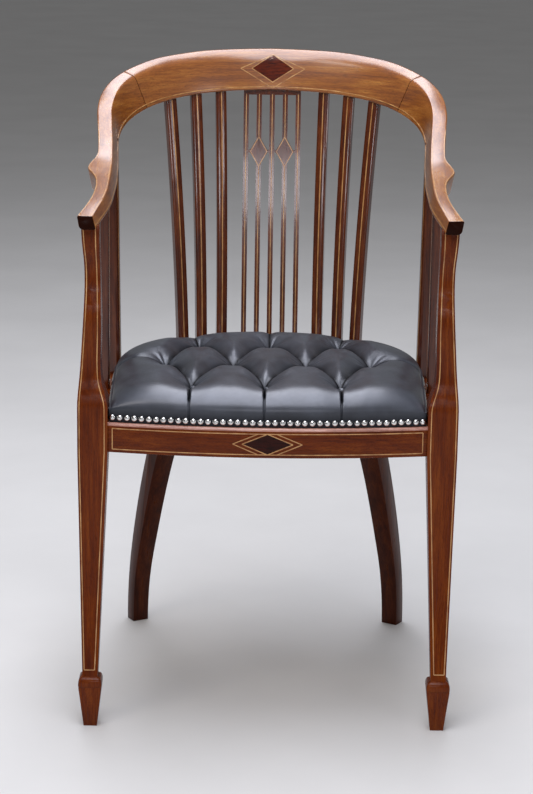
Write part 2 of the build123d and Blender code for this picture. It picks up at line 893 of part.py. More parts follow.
def strap(crossings, first_over):
    """Band that goes over and under by turns, drawn along X."""
    flat = web_wide / 2 + web_lap
    run = [(-through / 2, web_bottom)]
    for i, place in enumerate(crossings):
        height = web_bottom + (web_thick if (i + first_over) % 2 else 0)
        run += [(place - flat, height), (place + flat, height)]
    run.append((through / 2, web_bottom))
    upper = [(t, z + web_thick) for t, z in reversed(run)]
    face = Plane.XZ * outline(Polyline(*run, *upper, close=True))
    return extrude(face, web_wide / 2, dir=(0, 1, 0), both=True)


def webbing():
    """Straps woven across the seat frame, cut off on the tacking strip."""
    field = raised(seat_plan(leather_thick), web_bottom, pad_bottom)
    straps = []
    for i, depth in enumerate(web_depths):
        straps.append(Pos(0, at_depth(depth), 0) * strap(web_places, i) & field)
    for i, x in enumerate(web_places):
        crossings = [at_depth(depth) for depth in web_depths]
        straps.append(Pos(x, 0, 0) * (Rot(0, 0, 90) * strap(crossings, i + 1)) & field)
    return group(straps)


def dome_head(sides, radius, top_radius, rise):
    """Head with flat sides, standing on Z = 0."""
    slope = degrees(atan2((radius - top_radius) * cos(pi / sides), rise))
    return extrude(RegularPolygon(radius, sides), rise, taper=slope)


def buttons():
    """Covered buttons at the bottoms of the tufts."""
    button = Pos(0, 0, tuft_bottom) * dome_head(8, button_radius, button_radius / 2, button_rise)
    return group([Pos(*tuft, 0) * button for row in tufts() for tuft in row])


def nails_along(path):
    """Domed nails at even steps along a run of the leather's edge."""
    count = round(path.length / nail_pitch)
    head = dome_head(6, nail_radius, nail_top_radius, nail_rise)
    height = (rail_top + tack_top) / 2
    nails = []
    for i in range(count):
        share = (i + 0.5) / count
        spot, along = path @ share, path % share
        place = Plane(origin=(spot.X, spot.Y, height), x_dir=(0, 0, 1), z_dir=(-along.Y, along.X, 0))
        nails.append(place.location * head)
    return nails


def front_nails():
    """Nails across the front."""
    return group(nails_along(bow_arc(leather_front_half, ledge)))


def side_nails():
    """Nails from one front leg round the back to the other."""
    _, left, back, right, _ = seat_line.path(-leather_offset, 0)
    front = bow_point(leather_front_half, ledge)
    share = (at_depth(leg_size) - front[1]) / (seat_line.side_y - front[1])
    start = (front[0] + share * (seat_half - leather_offset - front[0]), at_depth(leg_size))
    runs = [
        Line((-start[0], start[1]), left @ 0),
        left,
        back,
        right,
        Line(right @ 1, start),
    ]
    return group(nails_along(Wire(runs)))


# Corner blocks


def front_corner_block():
    """Triangular block in the right front corner, before the rails and leg are cut away."""
    x = seat_half - rail_inside
    depth = front_rail_depth + front_rail_thick
    corners = (
        (x + block_seat, at_depth(depth - block_seat)),
        (x - block_leg, at_depth(depth - block_seat)),
        (x + block_seat, at_depth(depth + block_leg)),
    )
    return raised(outline(Polyline(*corners, close=True)), block_bottom, block_top)


def rear_corner_block():
    """Block across the inside of the right rear leg, before the rails and leg are cut away."""
    inside = -rail_inside - rear_block_thick
    return rear_place() * block(
        (-rear_block_half, rear_block_half),
        (inside, block_seat - rail_inside),
        (block_bottom, block_top),
    )


def screw_places():
    """Heads and directions of the two front and the two rear screws on the right."""
    x = seat_half - rail_inside
    depth = front_rail_depth + front_rail_thick
    height = (block_bottom + block_top) / 2
    slope = block_leg - block_seat - screw_place - screw_sink
    rear_x = (rear_leg_wide / 2 + rear_block_half) / 2
    inside = screw_sink - rail_inside - rear_block_thick
    front = [
        Plane(origin=(x - screw_place, at_depth(depth + slope), height), z_dir=(0, -1, 0)),
        Plane(origin=(x - slope, at_depth(depth + screw_place), height), z_dir=(1, 0, 0)),
    ]
    rear = [Plane(origin=(side, inside, height), z_dir=(0, 1, 0)) for side in (-rear_x, rear_x)]
    return [place.location for place in front], [rear_place() * place.location for place in rear]


def screw(place):
    """Wood screw with a cone head."""
    shank = extrude(RegularPolygon(screw_radius, 8), screw_long)
    return place * (shank + dome_head(8, screw_head_radius, screw_radius, screw_head_long))


def screw_room(place):
    """Hole for a screw, and the sinking above its head."""
    return screw(place) + place * extrude(RegularPolygon(screw_head_radius, 8), -screw_long)


def save_pair(name, shape):
    """Write a right-hand node and its mirror image on the left."""
    save(name + "_right", shape)
    save(name + "_left", mirrored(shape))


if __name__ == "__main__":
    os.makedirs("parts", exist_ok=True)
    crest = crest_blank()
    arm = arm_blank()
    leg = front_leg_blank()
    back_rail, side_rail = seat_rails()
    front_rail = front_rail_blank()
    rear = rear_leg()

    # Inlay
    rail_diamond, rail_strings = front_rail_inlay()
    crest_diamond, crest_strings = crest_inlay(crest)
    save("front_rail_lozenge", rail_diamond)
    save("front_rail_stringing", group([rail_strings]))
    save("crest_lozenge", crest_diamond)
    save("crest_stringing", group([crest_strings]))
    crest = crest - crest_diamond - crest_strings

    # Corner blocks and their screws
    front_block = main_solid(front_corner_block() - front_rail - side_rail - leg)
    rear_corner = main_solid(rear_corner_block() - back_rail - side_rail - rear)
    front_screws, rear_screws = screw_places()
    for place in front_screws:
        front_block = front_block - screw_room(place)
    for place in rear_screws:
        rear_corner = rear_corner - screw_room(place)
        back_rail = back_rail - screw(place) - mirrored(screw(place))
    for place in front_screws + rear_screws:
        side_rail = side_rail - screw(place)
        front_rail = front_rail - screw(place) - mirrored(screw(place))
    right_screws = [screw(place) for place in front_screws + rear_screws]
    save_pair("front_corner_block", front_block)
    save_pair("rear_corner_block", rear_corner)
    save("corner_block_screws", group(right_screws + [mirrored(piece) for piece in right_screws]))

    # Joints of the legs, rails and arms
    leg = (leg - arm) + (post_tenon() & arm)
    leg = leg - front_tenon(fit_gap) - side_tenon(fit_gap)
    arm = arm - post_tenon(fit_gap) - tongue(fit_gap, end_gap)
    crest = crest - tongue(fit_gap, end_gap) - mirrored(tongue(fit_gap, end_gap))
    front_rail = front_rail - rail_diamond - rail_strings
    for stub in rear_tenons(fit_gap):
        rear = rear - stub
    save_pair("scarf_tongue", tongue())

    # Slats and splat
    for name, place in slat_places().items():
        room = slat_room(place, slat_wide, slat_thick)
        bar = slat(*place, slat_wide, -slat_thick / 2, slat_thick / 2)
        if name.startswith("side"):
            arm = arm - room
            side_rail = side_rail - room
        else:
            crest = crest - room - mirrored(room)
            back_rail = back_rail - room - mirrored(room)
        save(name, bar)
        save(name.replace("right", "left"), mirrored(bar))
    room = slat_room(splat_place, splat_wide, splat_thick)
    crest = crest - room
    back_rail = back_rail - room
    save("pierced_splat", splat())

    # Frame
    save("crest_rail", crest)
    save_pair("arm", arm)
    save_pair("front_leg", leg)
    save_pair("rear_leg", rear)
    save("front_rail", front_rail)
    save_pair("side_rail", side_rail)
    save("back_rail", back_rail)

    # Seat
    save("webbing", webbing())
    save("hessian", hessian())
    save("hair_pad", hair_pad())
    save("leather_cover", leather_cover())
    save("tuft_buttons", buttons())
    save("front_nails", front_nails())
    save("side_nails", side_nails())
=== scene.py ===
"""Inlaid mahogany open armchair with a buttoned leather seat: the dressed model and its studio."""

import logging
import math
from dataclasses import dataclass, field
from enum import Enum
from typing import Any, Callable, Sequence

import bmesh
import bpy
import numpy as np
from mathutils import Euler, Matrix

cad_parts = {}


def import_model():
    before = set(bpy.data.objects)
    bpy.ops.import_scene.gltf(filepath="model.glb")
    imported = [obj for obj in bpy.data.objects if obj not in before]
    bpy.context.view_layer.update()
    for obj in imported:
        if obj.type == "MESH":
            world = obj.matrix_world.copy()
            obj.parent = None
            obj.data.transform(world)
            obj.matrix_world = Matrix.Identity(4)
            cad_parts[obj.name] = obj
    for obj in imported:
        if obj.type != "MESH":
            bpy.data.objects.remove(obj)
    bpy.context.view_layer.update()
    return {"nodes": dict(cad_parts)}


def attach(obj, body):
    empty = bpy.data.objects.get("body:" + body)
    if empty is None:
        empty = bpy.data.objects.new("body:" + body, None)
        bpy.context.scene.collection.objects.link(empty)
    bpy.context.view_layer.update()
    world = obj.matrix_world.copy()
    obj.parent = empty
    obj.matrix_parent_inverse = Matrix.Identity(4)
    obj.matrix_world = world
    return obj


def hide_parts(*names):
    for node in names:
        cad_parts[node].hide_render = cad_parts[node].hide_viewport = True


LOG = logging.getLogger("armchair")
MM = 0.001
BODY = "root"
WELD = 1e-6
VENEER_PROUD = 0.06
GRAIN_SHIFT = 7.3
GRAIN_STEPS = (1.0, 0.37, 0.21)
ARC_RADIUS = 200.0

Array = np.ndarray
Object = bpy.types.Object
Socket = bpy.types.NodeSocket
Nodes = dict[str, Object]
Inputs = dict[Any, Any]
Faces = list[tuple[int, ...]]
Counts = tuple[int, int]
Pair = tuple[float, float]
Triple = tuple[float, float, float]
Table = tuple[Pair, ...]
Lines = list[tuple[Pair, Pair]]


def linear(code: str) -> tuple[float, float, float, float]:
    """Turns an sRGB colour into the linear values that shaders use.

    Args:
        code: Six hex digits after a hash sign.

    Returns:
        Linear red, green, blue and an alpha of one.
    """
    parts = [int(code[i : i + 2], 16) / 255 for i in (1, 3, 5)]
    flat = [c / 12.92 if c <= 0.04045 else ((c + 0.055) / 1.055) ** 2.4 for c in parts]
    return (flat[0], flat[1], flat[2], 1.0)


def smooth(table: Table, at: Array) -> Array:
    """Reads values from (position, value) pairs by a curve that never overshoots them.

    Args:
        table: Pairs in rising order of position.
        at: Positions to read.

    Returns:
        The values at those positions.
    """
    x, y = np.array(table, float).T
    slope = np.diff(y) / np.diff(x)
    before, after = slope[:-1], slope[1:]
    same = before * after > 0
    total = np.where(same, before + after, 1.0)
    inner = np.where(same, 2 * before * after / total, 0.0)
    tangent = np.concatenate([slope[:1], inner, slope[-1:]])
    at = np.clip(np.asarray(at, float), x[0], x[-1])
    i = np.clip(np.searchsorted(x, at) - 1, 0, len(x) - 2)
    span = x[i + 1] - x[i]
    t = (at - x[i]) / span
    start = (1 + 2 * t) * (1 - t) ** 2 * y[i] + t * (1 - t) ** 2 * span * tangent[i]
    return start + t * t * (3 - 2 * t) * y[i + 1] + t * t * (t - 1) * span * tangent[i + 1]


def straight(table: Table, at: Array) -> Array:
    """Reads values from (position, value) pairs by straight lines between them.

    Args:
        table: Pairs in rising order of position.
        at: Positions to read.

    Returns:
        The values at those positions.
    """
    positions, values = zip(*table)
    return np.interp(at, positions, values)


def bell(gap: Array, wide: float) -> Array:
    """Bell curve of height one.

    Args:
        gap: Distances from its middle.
        wide: Distance at which it has fallen to about a third.

    Returns:
        Height at each distance.
    """
    return np.exp(-((gap / wide) ** 2))


def quarter(share: Array) -> Array:
    """Quarter-round fall from one to nothing, steep at the start and level at the end.

    Args:
        share: Distance as a share of the fall's width.

    Returns:
        Height of the fall.
    """
    return 1 - np.sqrt(1 - (1 - np.clip(share, 0, 1)) ** 2)


def unit(v: Array) -> Array:
    """Scales vectors to length one.

    Args:
        v: Vectors along the last axis.

    Returns:
        The same directions with length one.
    """
    return v / np.maximum(np.linalg.norm(v, axis=-1, keepdims=True), 1e-9)


def diamond(x: float, half: float, low: float, middle: float, high: float) -> Lines:
    """Sides of a diamond in a face.

    Args:
        x: Sideways place of its middle.
        half: Half its width.
        low: Height of the lower tip.
        middle: Height of the side tips.
        high: Height of the upper tip.

    Returns:
        Start and end of each side, as sideways place and height.
    """
    tips = [(x - half, middle), (x, high), (x + half, middle), (x, low)]
    return list(zip(tips, tips[1:] + tips[:1]))


@dataclass(frozen=True)
class Horseshoe:
    """Plan line of two straight sides, two corner arcs and one back arc, in millimetres."""

    half: float
    corner: float
    back: float
    back_y: float

    @property
    def turn(self) -> float:
        """Angle, in radians, at which the back arc meets the corner arc."""
        return math.asin((self.half - self.corner) / (self.back - self.corner))

    @property
    def side_y(self) -> float:
        """Where the corner arc meets the straight side."""
        return self.back_y - self.back + (self.back - self.corner) * math.cos(self.turn)

    @property
    def curved(self) -> float:
        """Length of the back arc and one corner arc from straight back."""
        return self.back * self.turn + self.corner * (math.pi / 2 - self.turn)

    def along(self, distance: Array) -> tuple[Array, Array]:
        """Points and outward directions at signed distances from straight back.

        Args:
            distance: Distances along the line, positive to the right.

        Returns:
            Plan points and plan outward directions, one row each.
        """
        d = np.abs(np.asarray(distance, float))
        side = np.where(np.asarray(distance) < 0, -1.0, 1.0)
        on_back = self.back * self.turn
        back = d <= on_back
        angle = np.where(back, d / self.back, self.turn + (d - on_back) / self.corner)
        angle = np.minimum(angle, math.pi / 2)
        radius = np.where(back, self.back, self.corner)
        x = np.where(back, 0.0, self.half - self.corner) + radius * np.sin(angle)
        y = np.where(back, self.back_y - self.back, self.side_y) + radius * np.cos(angle)
        y = y - np.maximum(d - self.curved, 0.0)
        point = np.stack([side * x, y], axis=-1)
        return point, np.stack([side * np.sin(angle), np.cos(angle)], axis=-1)

    def at(self, distance: float) -> tuple[Array, Array]:
        """Point and outward direction at one signed distance from straight back.

        Args:
            distance: Distance along the line, positive to the right.

        Returns:
            Plan point and plan outward direction.
        """
        point, out = self.along(np.array([distance]))
        return point[0], out[0]


@dataclass(frozen=True)
class Layout:
    """Sizes that several sub-assemblies share, in millimetres."""

    front_y: float = -232.0
    rail_top: float = 428.0
    crest_top: float = 878.0
    lean: float = math.radians(13)
    bow_radius: float = 1123.0
    bow_centre_y: float = 874.0
    seat_line: Horseshoe = Horseshoe(227.0, 140.0, 290.0, 176.0)
    top_line: Horseshoe = Horseshoe(226.0, 150.0, 280.0, 230.0)
    scarf_reach: float = 215.4

    @property
    def arm_reach(self) -> float:
        """Length along the top rail from straight back to an arm tip."""
        return self.top_line.curved + self.top_line.side_y - self.front_y


LAYOUT = Layout()


class NodeKit:
    """A node tree under construction, with a short way to add nodes."""

    def __init__(self, tree: bpy.types.NodeTree) -> None:
        """Takes hold of a tree.

        Args:
            tree: The tree to build in.
        """
        self.tree = tree

    def node(self, kind: str, inputs: Inputs | None = None, **settings: Any) -> bpy.types.Node:
        """Adds one node with its settings, values and links.

        Args:
            kind: Blender's name of the node type.
            inputs: Input name or index, to a value or to the output socket that feeds it.
            **settings: Properties of the node.

        Returns:
            The new node.
        """
        node = self.tree.nodes.new(kind)
        for key, value in settings.items():
            setattr(node, key, value)
        self.feed(node, inputs or {})
        return node

    def feed(self, node: bpy.types.Node, inputs: Inputs) -> None:
        """Sets or links inputs of a node.

        Args:
            node: The node to feed.
            inputs: Input name or index, to a value or to the output socket that feeds it.
        """
        for key, value in inputs.items():
            if isinstance(value, Socket):
                self.tree.links.new(value, node.inputs[key])
            else:
                node.inputs[key].default_value = value


class Graph(NodeKit):
    """A material under construction, with its Principled shader."""

    def __init__(self, name: str) -> None:
        """Starts an empty material that has a Principled shader.

        Args:
            name: Name of the material.
        """
        self.material = bpy.data.materials.new(name)
        self.material.use_nodes = True
        super().__init__(self.material.node_tree)
        self.tree.nodes.clear()
        self.shader = self.node("ShaderNodeBsdfPrincipled")
        self.node("ShaderNodeOutputMaterial", {"Surface": self.shader.outputs["BSDF"]})

    def ramp(self, factor: Socket, stops: Sequence[tuple[float, str]]) -> Socket:
        """Colours a grey value by a colour ramp.

        Args:
            factor: Grey value between zero and one.
            stops: Positions with sRGB hex colours.

        Returns:
            The colour output.
        """
        node = self.node("ShaderNodeValToRGB", {"Fac": factor})
        elements = node.color_ramp.elements
        while len(elements) < len(stops):
            elements.new(0.5)
        for element, (place, code) in zip(elements, stops):
            element.position = place
            element.color = linear(code)
        return node.outputs["Color"]

    def noise(
        self,
        vector: Socket,
        scale: Sequence[float],
        detail: float = 4.0,
        rough: float = 0.55,
        distortion: float = 0.0,
    ) -> Socket:
        """Noise stretched by a scale for each axis.

        Args:
            vector: Coordinates in metres or millimetres.
            scale: Cycles for each unit along each axis.
            detail: Octaves of finer noise.
            rough: Strength of the finer octaves.
            distortion: How far the pattern is pushed about.

        Returns:
            The grey value.
        """
        place = self.node("ShaderNodeMapping", {"Vector": vector, "Scale": tuple(scale)})
        values = {"Vector": place.outputs["Vector"], "Scale": 1.0, "Detail": detail}
        values |= {"Roughness": rough, "Distortion": distortion}
        return self.node("ShaderNodeTexNoise", values).outputs["Fac"]

    def blend(self, a: Socket, a_share: float, b: Socket, b_share: float) -> Socket:
        """Adds two grey values by their shares.

        Args:
            a: First value.
            a_share: What the first is multiplied by.
            b: Second value.
            b_share: What the second is multiplied by.

        Returns:
            The sum.
        """
        parts = [self.math("MULTIPLY", v, share) for v, share in ((a, a_share), (b, b_share))]
        return self.math("ADD", parts[0], parts[1])

    def math(self, operation: str, a: Any, b: Any) -> Socket:
        """Joins two values by one arithmetic step.

        Args:
            operation: Blender's name of the operation.
            a: First value or socket.
            b: Second value or socket.

        Returns:
            The result.
        """
        return self.node("ShaderNodeMath", {0: a, 1: b}, operation=operation).outputs[0]

    def spread(
        self, value: Socket, low: float, high: float, to_low: float, to_high: float
    ) -> Socket:
        """Maps a range of grey values on to another range.

        Args:
            value: Grey value.
            low: Start of the range read.
            high: End of the range read.
            to_low: Start of the range given.
            to_high: End of the range given.

        Returns:
            The mapped value.
        """
        inputs = {0: value, 1: low, 2: high, 3: to_low, 4: to_high}
        return self.node("ShaderNodeMapRange", inputs).outputs[0]

    def mix(self, factor: Any, a: Any, b: Any, blend: str = "MIX") -> Socket:
        """Mixes two colours.

        Args:
            factor: Share of the second colour.
            a: First colour or socket.
            b: Second colour or socket.
            blend: Blender's name of the blend.

        Returns:
            The mixed colour.
        """
        settings = {"data_type": "RGBA", "blend_type": blend}
        return self.node("ShaderNodeMix", {0: factor, 6: a, 7: b}, **settings).outputs[2]

    def bump(self, height: Socket, depth_mm: float, strength: float) -> Socket:
        """Bump from a height value.

        Args:
            height: Height between zero and one.
            depth_mm: Real depth of the relief.
            strength: Share of the effect.

        Returns:
            The bent normal.
        """
        inputs = {"Height": height, "Distance": depth_mm * MM, "Strength": strength}
        return self.node("ShaderNodeBump", inputs).outputs["Normal"]

    def stored(self, name: str, output: str) -> Socket:
        """Values stored on the points of a piece.

        Args:
            name: Name of the mesh attribute.
            output: Which output to read, Vector or Fac.

        Returns:
            The stored values.
        """
        return self.node("ShaderNodeAttribute", attribute_name=name).outputs[output]

    def place(self) -> Socket:
        """Object coordinates, which are metres in the shared frame."""
        return self.node("ShaderNodeTexCoord").outputs["Object"]


@dataclass(frozen=True)
class Stuff:
    """What every finish has: a name, two tones and one shader."""

    name: str
    dark: str
    light: str

    def inputs(self, g: Graph) -> Inputs:
        """Builds the nodes that feed the shader.

        Args:
            g: The material under construction.

        Returns:
            Shader inputs, to values or to the output sockets that feed them.
        """
        raise NotImplementedError

    def make(self) -> bpy.types.Material:
        """Builds the material.

        Returns:
            The finished material.
        """
        g = Graph(self.name)
        g.feed(g.shader, self.inputs(g))
        return g.material


@dataclass(frozen=True)
class Mahogany(Stuff):
    """French-polished mahogany: warm red brown with dark pores under a soft gloss."""

    middle: str
    gloss: float = 0.25
    shine: float = 0.2
    coat: float = 0.12
    coat_gloss: float = 0.14
    # Near-black tone of end grain, which is also painted shade on the arm tips
    end: str = "#200a04"

    def inputs(self, g: Graph) -> Inputs:
        """Builds figure, growth lines, pores and dark end grain, which on the arm tips also paints
        shade.

        Args:
            g: The material under construction.

        Returns:
            Shader inputs.
        """
        # Millimetres along, across and through the grain
        grain = g.stored("grain", "Vector")
        # Broad ribbon figure: slow bands of paler and darker wood along the length
        figure = g.noise(grain, (0.009, 0.09, 0.09), 5.0, 0.6, 0.6)
        # Growth lines, a few millimetres apart
        lines = g.noise(grain, (0.012, 0.42, 0.42), 3.0, 0.6, 0.25)
        # Open pores: fine dark flecks drawn out along the grain
        pores = g.noise(grain, (0.11, 2.6, 2.6), 2.0, 0.5)
        tone = g.blend(figure, 0.62, lines, 0.38)
        wood = g.ramp(tone, ((0.33, self.dark), (0.5, self.middle), (0.68, self.light)))
        fleck = g.spread(pores, 0.36, 0.5, 0.62, 1.0)
        wood = g.mix(1.0, wood, fleck, "MULTIPLY")
        # End grain drinks the polish and turns dark; on the arm tips the near-black tone also
        # paints shade
        end = g.stored("end_grain", "Fac")
        wood = g.mix(end, wood, linear(self.end))
        return {
            "Base Color": wood,
            "Roughness": g.spread(figure, 0.3, 0.7, self.gloss + 0.06, self.gloss - 0.04),
            "Normal": g.bump(pores, 0.05, 0.35),
            "Specular IOR Level": g.spread(end, 0.0, 1.0, self.shine, 0.05),
            "Coat Weight": g.spread(end, 0.0, 1.0, self.coat, 0.0),
            "Coat Roughness": self.coat_gloss,
        }


@dataclass(frozen=True)
class AnilineLeather(Stuff):
    """Charcoal upholstery leather: fine pebble grain, a waxy sheen, and painted shade that turns
    the folds near-black.
    """

    # Near-black colour of the painted shade in folds, pits and along the band
    crease_shade: str
    sheen: str

    def inputs(self, g: Graph) -> Inputs:
        """Builds clouds, pebble grain, creases and the painted shade in the folds.

        Args:
            g: The material under construction.

        Returns:
            Shader inputs.
        """
        place = g.place()
        cloud = g.noise(place, (24.0,) * 3, 4.0, 0.6)
        cells = {"Vector": place, "Scale": 720.0, "Randomness": 1.0}
        pebble = g.node("ShaderNodeTexVoronoi", cells, feature="SMOOTH_F1").outputs["Distance"]
        creases = g.noise(place, (210.0,) * 3, 5.0, 0.6)
        relief = g.blend(pebble, 0.6, creases, 0.5)
        # Painted shade stored on the cover darkens the colour and takes away the gloss
        fold = g.stored("fold", "Fac")
        open_tone = g.ramp(cloud, ((0.3, self.dark), (0.72, self.light)))
        return {
            "Base Color": g.mix(fold, open_tone, linear(self.crease_shade)),
            "Roughness": g.spread(creases, 0.3, 0.7, 0.35, 0.43),
            "Normal": g.bump(relief, 0.12, 0.35),
            "Specular IOR Level": g.spread(fold, 0.0, 1.0, 0.85, 0.02),
            "Specular Tint": linear(self.sheen),
            "Coat Weight": g.spread(fold, 0.0, 0.8, 0.3, 0.0),
            "Coat Roughness": 0.27,
        }


@dataclass(frozen=True)
class Toned(Stuff):
    """Veneer, boxwood, metal and inner stuff: one noise over two tones.

    Noise gives detail, roughness and distortion. Relief gives millimetres and strength.
    """

    scale: Triple
    rough: Pair
    relief: Pair
    noise: Triple = (4.0, 0.65, 0.0)
    stops: Pair = (0.3, 0.7)
    metal: float = 0.0
    shine: float = 0.5
    coat: float = 0.0
    coat_gloss: float = 0.18

    def inputs(self, g: Graph) -> Inputs:
        """Builds the grain, fibre or mottle.

        Args:
            g: The material under construction.

        Returns:
            Shader inputs.
        """
        tone = g.noise(g.place(), self.scale, *self.noise)
        return {
            "Base Color": g.ramp(tone, tuple(zip(self.stops, (self.dark, self.light)))),
            "Metallic": self.metal,
            "Roughness": g.spread(tone, 0.3, 0.7, *self.rough),
            "Normal": g.bump(tone, *self.relief),
            "Specular IOR Level": self.shine,
            "Coat Weight": self.coat,
            "Coat Roughness": self.coat_gloss,
        }


@dataclass(frozen=True)
class Woven(Stuff):
    """Jute cloth: threads crossing over and under, with uneven yarns."""

    thread_mm: float

    def inputs(self, g: Graph) -> Inputs:
        """Builds two crossing sets of threads and their uneven yarn.

        Args:
            g: The material under construction.

        Returns:
            Shader inputs.
        """
        place = g.place()
        count = 1000 / self.thread_mm
        bands = {"Vector": place, "Scale": count / 20 * math.pi / 3}
        bands |= {"Distortion": 0.6, "Detail": 2.0}
        threads = [g.node("ShaderNodeTexWave", bands, bands_direction=way) for way in ("X", "Y")]
        weave = g.math("MAXIMUM", threads[0].outputs["Fac"], threads[1].outputs["Fac"])
        yarn = g.noise(place, (count * 0.3,) * 3, 3.0)
        tone = g.blend(weave, 0.6, yarn, 0.5)
        return {
            "Base Color": g.ramp(tone, ((0.25, self.dark), (0.85, self.light))),
            "Roughness": g.spread(yarn, 0.3, 0.7, 0.95, 0.8),
            "Normal": g.bump(weave, 0.5, 0.6),
        }


# Nearly black red with fine level lines
VENEER_FIGURE: Inputs = {
    "scale": (60.0, 60.0, 420.0),
    "rough": (0.34, 0.26),
    "relief": (0.03, 0.3),
    "noise": (4.0, 0.6, 0.4),
    "shine": 0.12,
    "coat": 0.06,
}


class Finish(Enum):
    """Every finish on the chair, with the record's slot it belongs to."""

    # Paler than the frame's mahogany: partly faded wood, partly painted light on the crest and arms
    CREST = (
        "mahogany",
        Mahogany("Faded mahogany", "#703a16", "#b67836", "#96561f", 0.3, 0.6, 0.9, 0.2),
    )
    FRAME = (
        "mahogany",
        Mahogany("French-polished mahogany", "#4a1804", "#7e3c0c", "#652805", 0.25, 0.12, 0.07),
    )
    SLAT = (
        "mahogany",
        Mahogany("Bright-polished mahogany", "#341006", "#743813", "#562207", 0.17, 0.4, 0.4, 0.08),
    )
    # Darker copy of the frame's mahogany: painted shade on the rear legs
    DEEP = (
        "mahogany",
        Mahogany("Dark-polished mahogany", "#2a0d03", "#5a290c", "#431907", 0.3, 0.1, 0.05),
    )
    # Pale mahogany that paints the highlight along the front rail's top arris
    WORN = (
        "mahogany",
        Mahogany("Rubbed mahogany edge", "#7c4a38", "#dcb6a8", "#b98474", 0.4, 0.5, 0.3, 0.25),
    )
    VENEER = (
        "lozenge_veneer",
        Toned("Red lozenge veneer", "#300b03", "#6a2408", **VENEER_FIGURE),
    )
    DARK_VENEER = (
        "lozenge_veneer",
        Toned("Dark lozenge veneer", "#170402", "#360e06", **VENEER_FIGURE),
    )
    BOXWOOD = (
        "boxwood",
        Toned(
            "Boxwood stringing", "#95602c", "#c4935a", (90.0, 90.0, 45.0), (0.36, 0.28),
            (0.02, 0.3), (3.0, 0.55, 0.0), (0.32, 0.62), coat=0.35,
        ),
    )
    LEATHER = (
        "leather",
        # Its third tone is the near-black painted shade of the folds
        AnilineLeather("Charcoal aniline leather", "#25272d", "#3e424a", "#070709", "#eef2ff"),
    )
    NICKEL = (
        "nickel",
        Toned(
            "Polished nickel", "#b6b6b6", "#ecebe9", (260.0, 260.0, 260.0), (0.26, 0.16),
            (0.03, 0.2), (3.0, 0.55, 0.0), (0.3, 0.6), metal=1.0,
        ),
    )
    BEECH = (
        "beech",
        Toned("Beech", "#a9804f", "#c9a673", (40.0, 40.0, 300.0), (0.68, 0.52), (0.2, 0.5)),
    )
    STEEL = (
        "steel",
        Toned(
            "Plain steel", "#6e6c68", "#96948f", (300.0, 300.0, 300.0), (0.48, 0.32),
            (0.05, 0.5), metal=1.0,
        ),
    )
    WEBBING = ("webbing", Woven("Jute webbing", "#7d6137", "#b8975f", 2.2))
    HESSIAN = ("hessian", Woven("Hessian", "#7a6440", "#b59c6c", 1.6))
    HAIR = (
        "hair",
        Toned(
            "Curled hair stuffing", "#2a221b", "#4c4036", (500.0, 500.0, 500.0), (0.98, 0.82),
            (1.0, 0.5),
        ),
    )

    @property
    def slot(self) -> str:
        """The record's material slot."""
        return self.value[0]


class Palette:
    """Builds each material once and hands it out."""

    def __init__(self) -> None:
        """Builds all finishes."""
        self.materials = {finish: finish.value[1].make() for finish in Finish}

    def dress(self, piece: Object, finish: Finish, *nodes: str) -> Object:
        """Gives a new piece its material and body, and hides what it stands for.

        Args:
            piece: The new object.
            finish: Its finish.
            *nodes: CAD nodes that it replaces.

        Returns:
            The same piece.
        """
        piece.data.materials.clear()
        piece.data.materials.append(self.materials[finish])
        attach(piece, BODY)
        if nodes:
            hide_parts(*nodes)
        LOG.info("piece %s: %d faces, %s", piece.name, len(piece.data.polygons), finish.name)
        return piece

    def paint(self, node: Object, finish: Finish) -> None:
        """Gives a CAD node that stays a better material.

        Args:
            node: The node's object.
            finish: Its finish.
        """
        if not node.material_slots:
            node.data.materials.append(None)
        for slot in node.material_slots:
            slot.material = self.materials[finish]
        LOG.info("node %s: %s", node.name, finish.name)


@dataclass
class Maker:
    """What every sub-assembly works with: the materials, and the CAD node objects by name."""

    palette: Palette
    nodes: Nodes


def add_object(name: str, data: Any) -> Object:
    """Makes an object and links it to the scene.

    Args:
        name: Name of the object.
        data: Its mesh, light or camera.

    Returns:
        The object.
    """
    thing = bpy.data.objects.new(name, data)
    bpy.context.scene.collection.objects.link(thing)
    return thing


def shade(mesh: bpy.types.Mesh, sharp: float) -> None:
    """Shades a mesh smooth, apart from its sharp edges.

    Args:
        mesh: The mesh.
        sharp: Edges sharper than this many degrees stay sharp.
    """
    mesh.shade_smooth()
    mesh.set_sharp_from_angle(angle=math.radians(sharp))


def settle(piece: Object) -> None:
    """Turns what a piece's modifiers make into its plain mesh.

    Args:
        piece: The object.
    """
    graph = bpy.context.evaluated_depsgraph_get()
    done = bpy.data.meshes.new_from_object(piece.evaluated_get(graph))
    piece.modifiers.clear()
    piece.data = done


def mesh_points(mesh: bpy.types.Mesh) -> Array:
    """Points of a mesh.

    Args:
        mesh: The mesh.

    Returns:
        Points in millimetres, one row each.
    """
    flat = np.empty(len(mesh.vertices) * 3)
    mesh.vertices.foreach_get("co", flat)
    return flat.reshape(-1, 3) / MM


def mesh_object(name: str, points: Array, faces: Faces, sharp: float = 40.0) -> Object:
    """Makes an object from points in millimetres.

    Args:
        name: Name of the object.
        points: Corner points, one row each.
        faces: Corner numbers of each face.
        sharp: Edges sharper than this many degrees stay sharp.

    Returns:
        The object, linked to the scene, with normals outward.
    """
    mesh = bpy.data.meshes.new(name)
    mesh.from_pydata((np.asarray(points) * MM).tolist(), [], [list(f) for f in faces])
    work = bmesh.new()
    work.from_mesh(mesh)
    bmesh.ops.remove_doubles(work, verts=work.verts, dist=WELD)
    bmesh.ops.recalc_face_normals(work, faces=work.faces)
    work.to_mesh(mesh)
    work.free()
    shade(mesh, sharp)
    return add_object(name, mesh)


